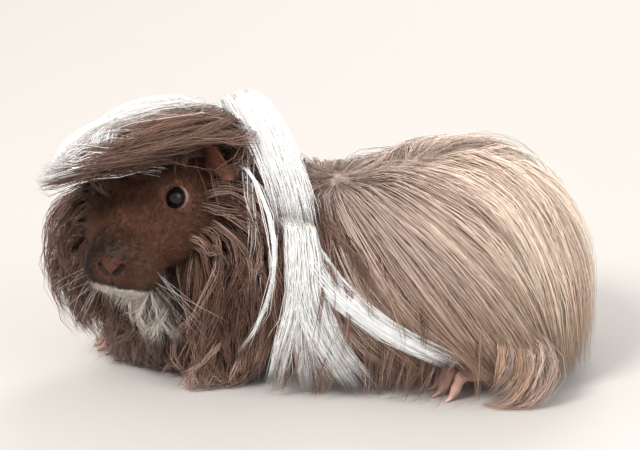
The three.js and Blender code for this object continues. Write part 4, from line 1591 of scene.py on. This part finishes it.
eyeMaterial = mottledMaterial("wetEye", (8, 7, 10), (26, 18, 18), 500.0, 0.04, 0.32)


def makeEye(side):
    bm = bmesh.new()
    bmesh.ops.create_uvsphere(bm, u_segments=48, v_segments=32, radius=eyeSet["radius"])
    gaze = eyeGaze(side)
    for vert in bm.verts:
        p = np.array(vert.co)
        facing = p @ gaze / eyeSet["radius"]
        p = p + gaze * 0.35 * max(0.0, facing - 0.55) ** 1.5
        vert.co = p
    points = np.array([vert.co for vert in bm.verts]) + (eyeSet["along"], eyeSet["aside"] * side, 0)
    for vert, p in zip(bm.verts, fromHead(points) * mm):
        vert.co = p
    for face in bm.faces:
        face.smooth = True
    mesh = bpy.data.meshes.new("eye")
    bm.to_mesh(mesh)
    bm.free()
    return linkPiece("eyeLeft" if side > 0 else "eyeRight", mesh, eyeMaterial)


eyes = {side: makeEye(side) for side in (1, -1)}
print("eyes made")


# whiskers

whiskerSet = {"width": 0.13, "seed": 71, "left": (7, (25, 31), 12.0), "right": (13, (29, 35), 9.5)}


def makeWhiskers():
    rng = np.random.default_rng(whiskerSet["seed"])
    paths = []
    for side, name in ((1, "left"), (-1, "right")):
        count, (back, front), aside = whiskerSet[name]
        for _ in range(count):
            root = np.array([rng.uniform(back, front), side * aside, rng.uniform(-25, -19)])
            aim = unit(np.array([rng.uniform(-0.35, 0.35), side * 0.75, rng.uniform(-1.1, -0.35)]))
            t = np.linspace(0, rng.uniform(22, 38), 10)[:, None]
            line = root + aim * t + np.array([-0.006, 0, -0.006]) * t * t * rng.uniform(0.4, 1.6)
            paths.append(fromHead(line))
    paths = np.array(paths)
    roots = settleOn(paths[:, 0], 4, 5.0, -0.2)
    paths = paths + (roots - paths[:, 0])[:, None]
    out = np.zeros_like(paths)
    out[..., 2] = 1.0
    width = whiskerSet["width"] * rng.uniform(0.8, 1.2, len(paths))
    colour = np.tile(tones["whisker"], (len(paths), paths.shape[1], 1))
    return buildStrands("whiskers", paths, out, width, colour, silkyHair)


whiskers = makeWhiskers()
bpy.data.objects.remove(shortTuft)
bpy.data.objects.remove(coarseTuft)

# floor

floorMaterial = mottledMaterial("paleFloor", (195, 191, 187), (196, 192, 188), 3.0, 0.7, 0.2)
bpy.ops.mesh.primitive_plane_add(size=8.0)
floor = bpy.context.object
floor.name = "floor"
floor.data.materials.append(floorMaterial)

# claws keep their own shape

clawMaterial = mottledMaterial("clawHorn", (176, 132, 112), (226, 190, 168), 900.0, 0.35)
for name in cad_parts:
    node = bpy.data.objects.get(name)
    if name.startswith("claw") and node:
        for slot in node.material_slots:
            slot.material = clawMaterial

# riding

fleshNodes = [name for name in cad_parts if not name.startswith(("claw", "eye"))]
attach(skin, "root")
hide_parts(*fleshNodes)
for side, node in ((1, "eye_left"), (-1, "eye_right")):
    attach(eyes[side], "root")
    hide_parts(node)
for piece in flankPieces + mantlePieces + [rolledLock, undercoat]:
    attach(piece, "root")
for piece in fringePieces:
    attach(piece, "root")
for piece in ruffPieces + cheekPieces + facePieces + [whiskers]:
    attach(piece, "root")
for piece in collarPieces:
    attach(piece, "root")
print("pieces ride on the root")
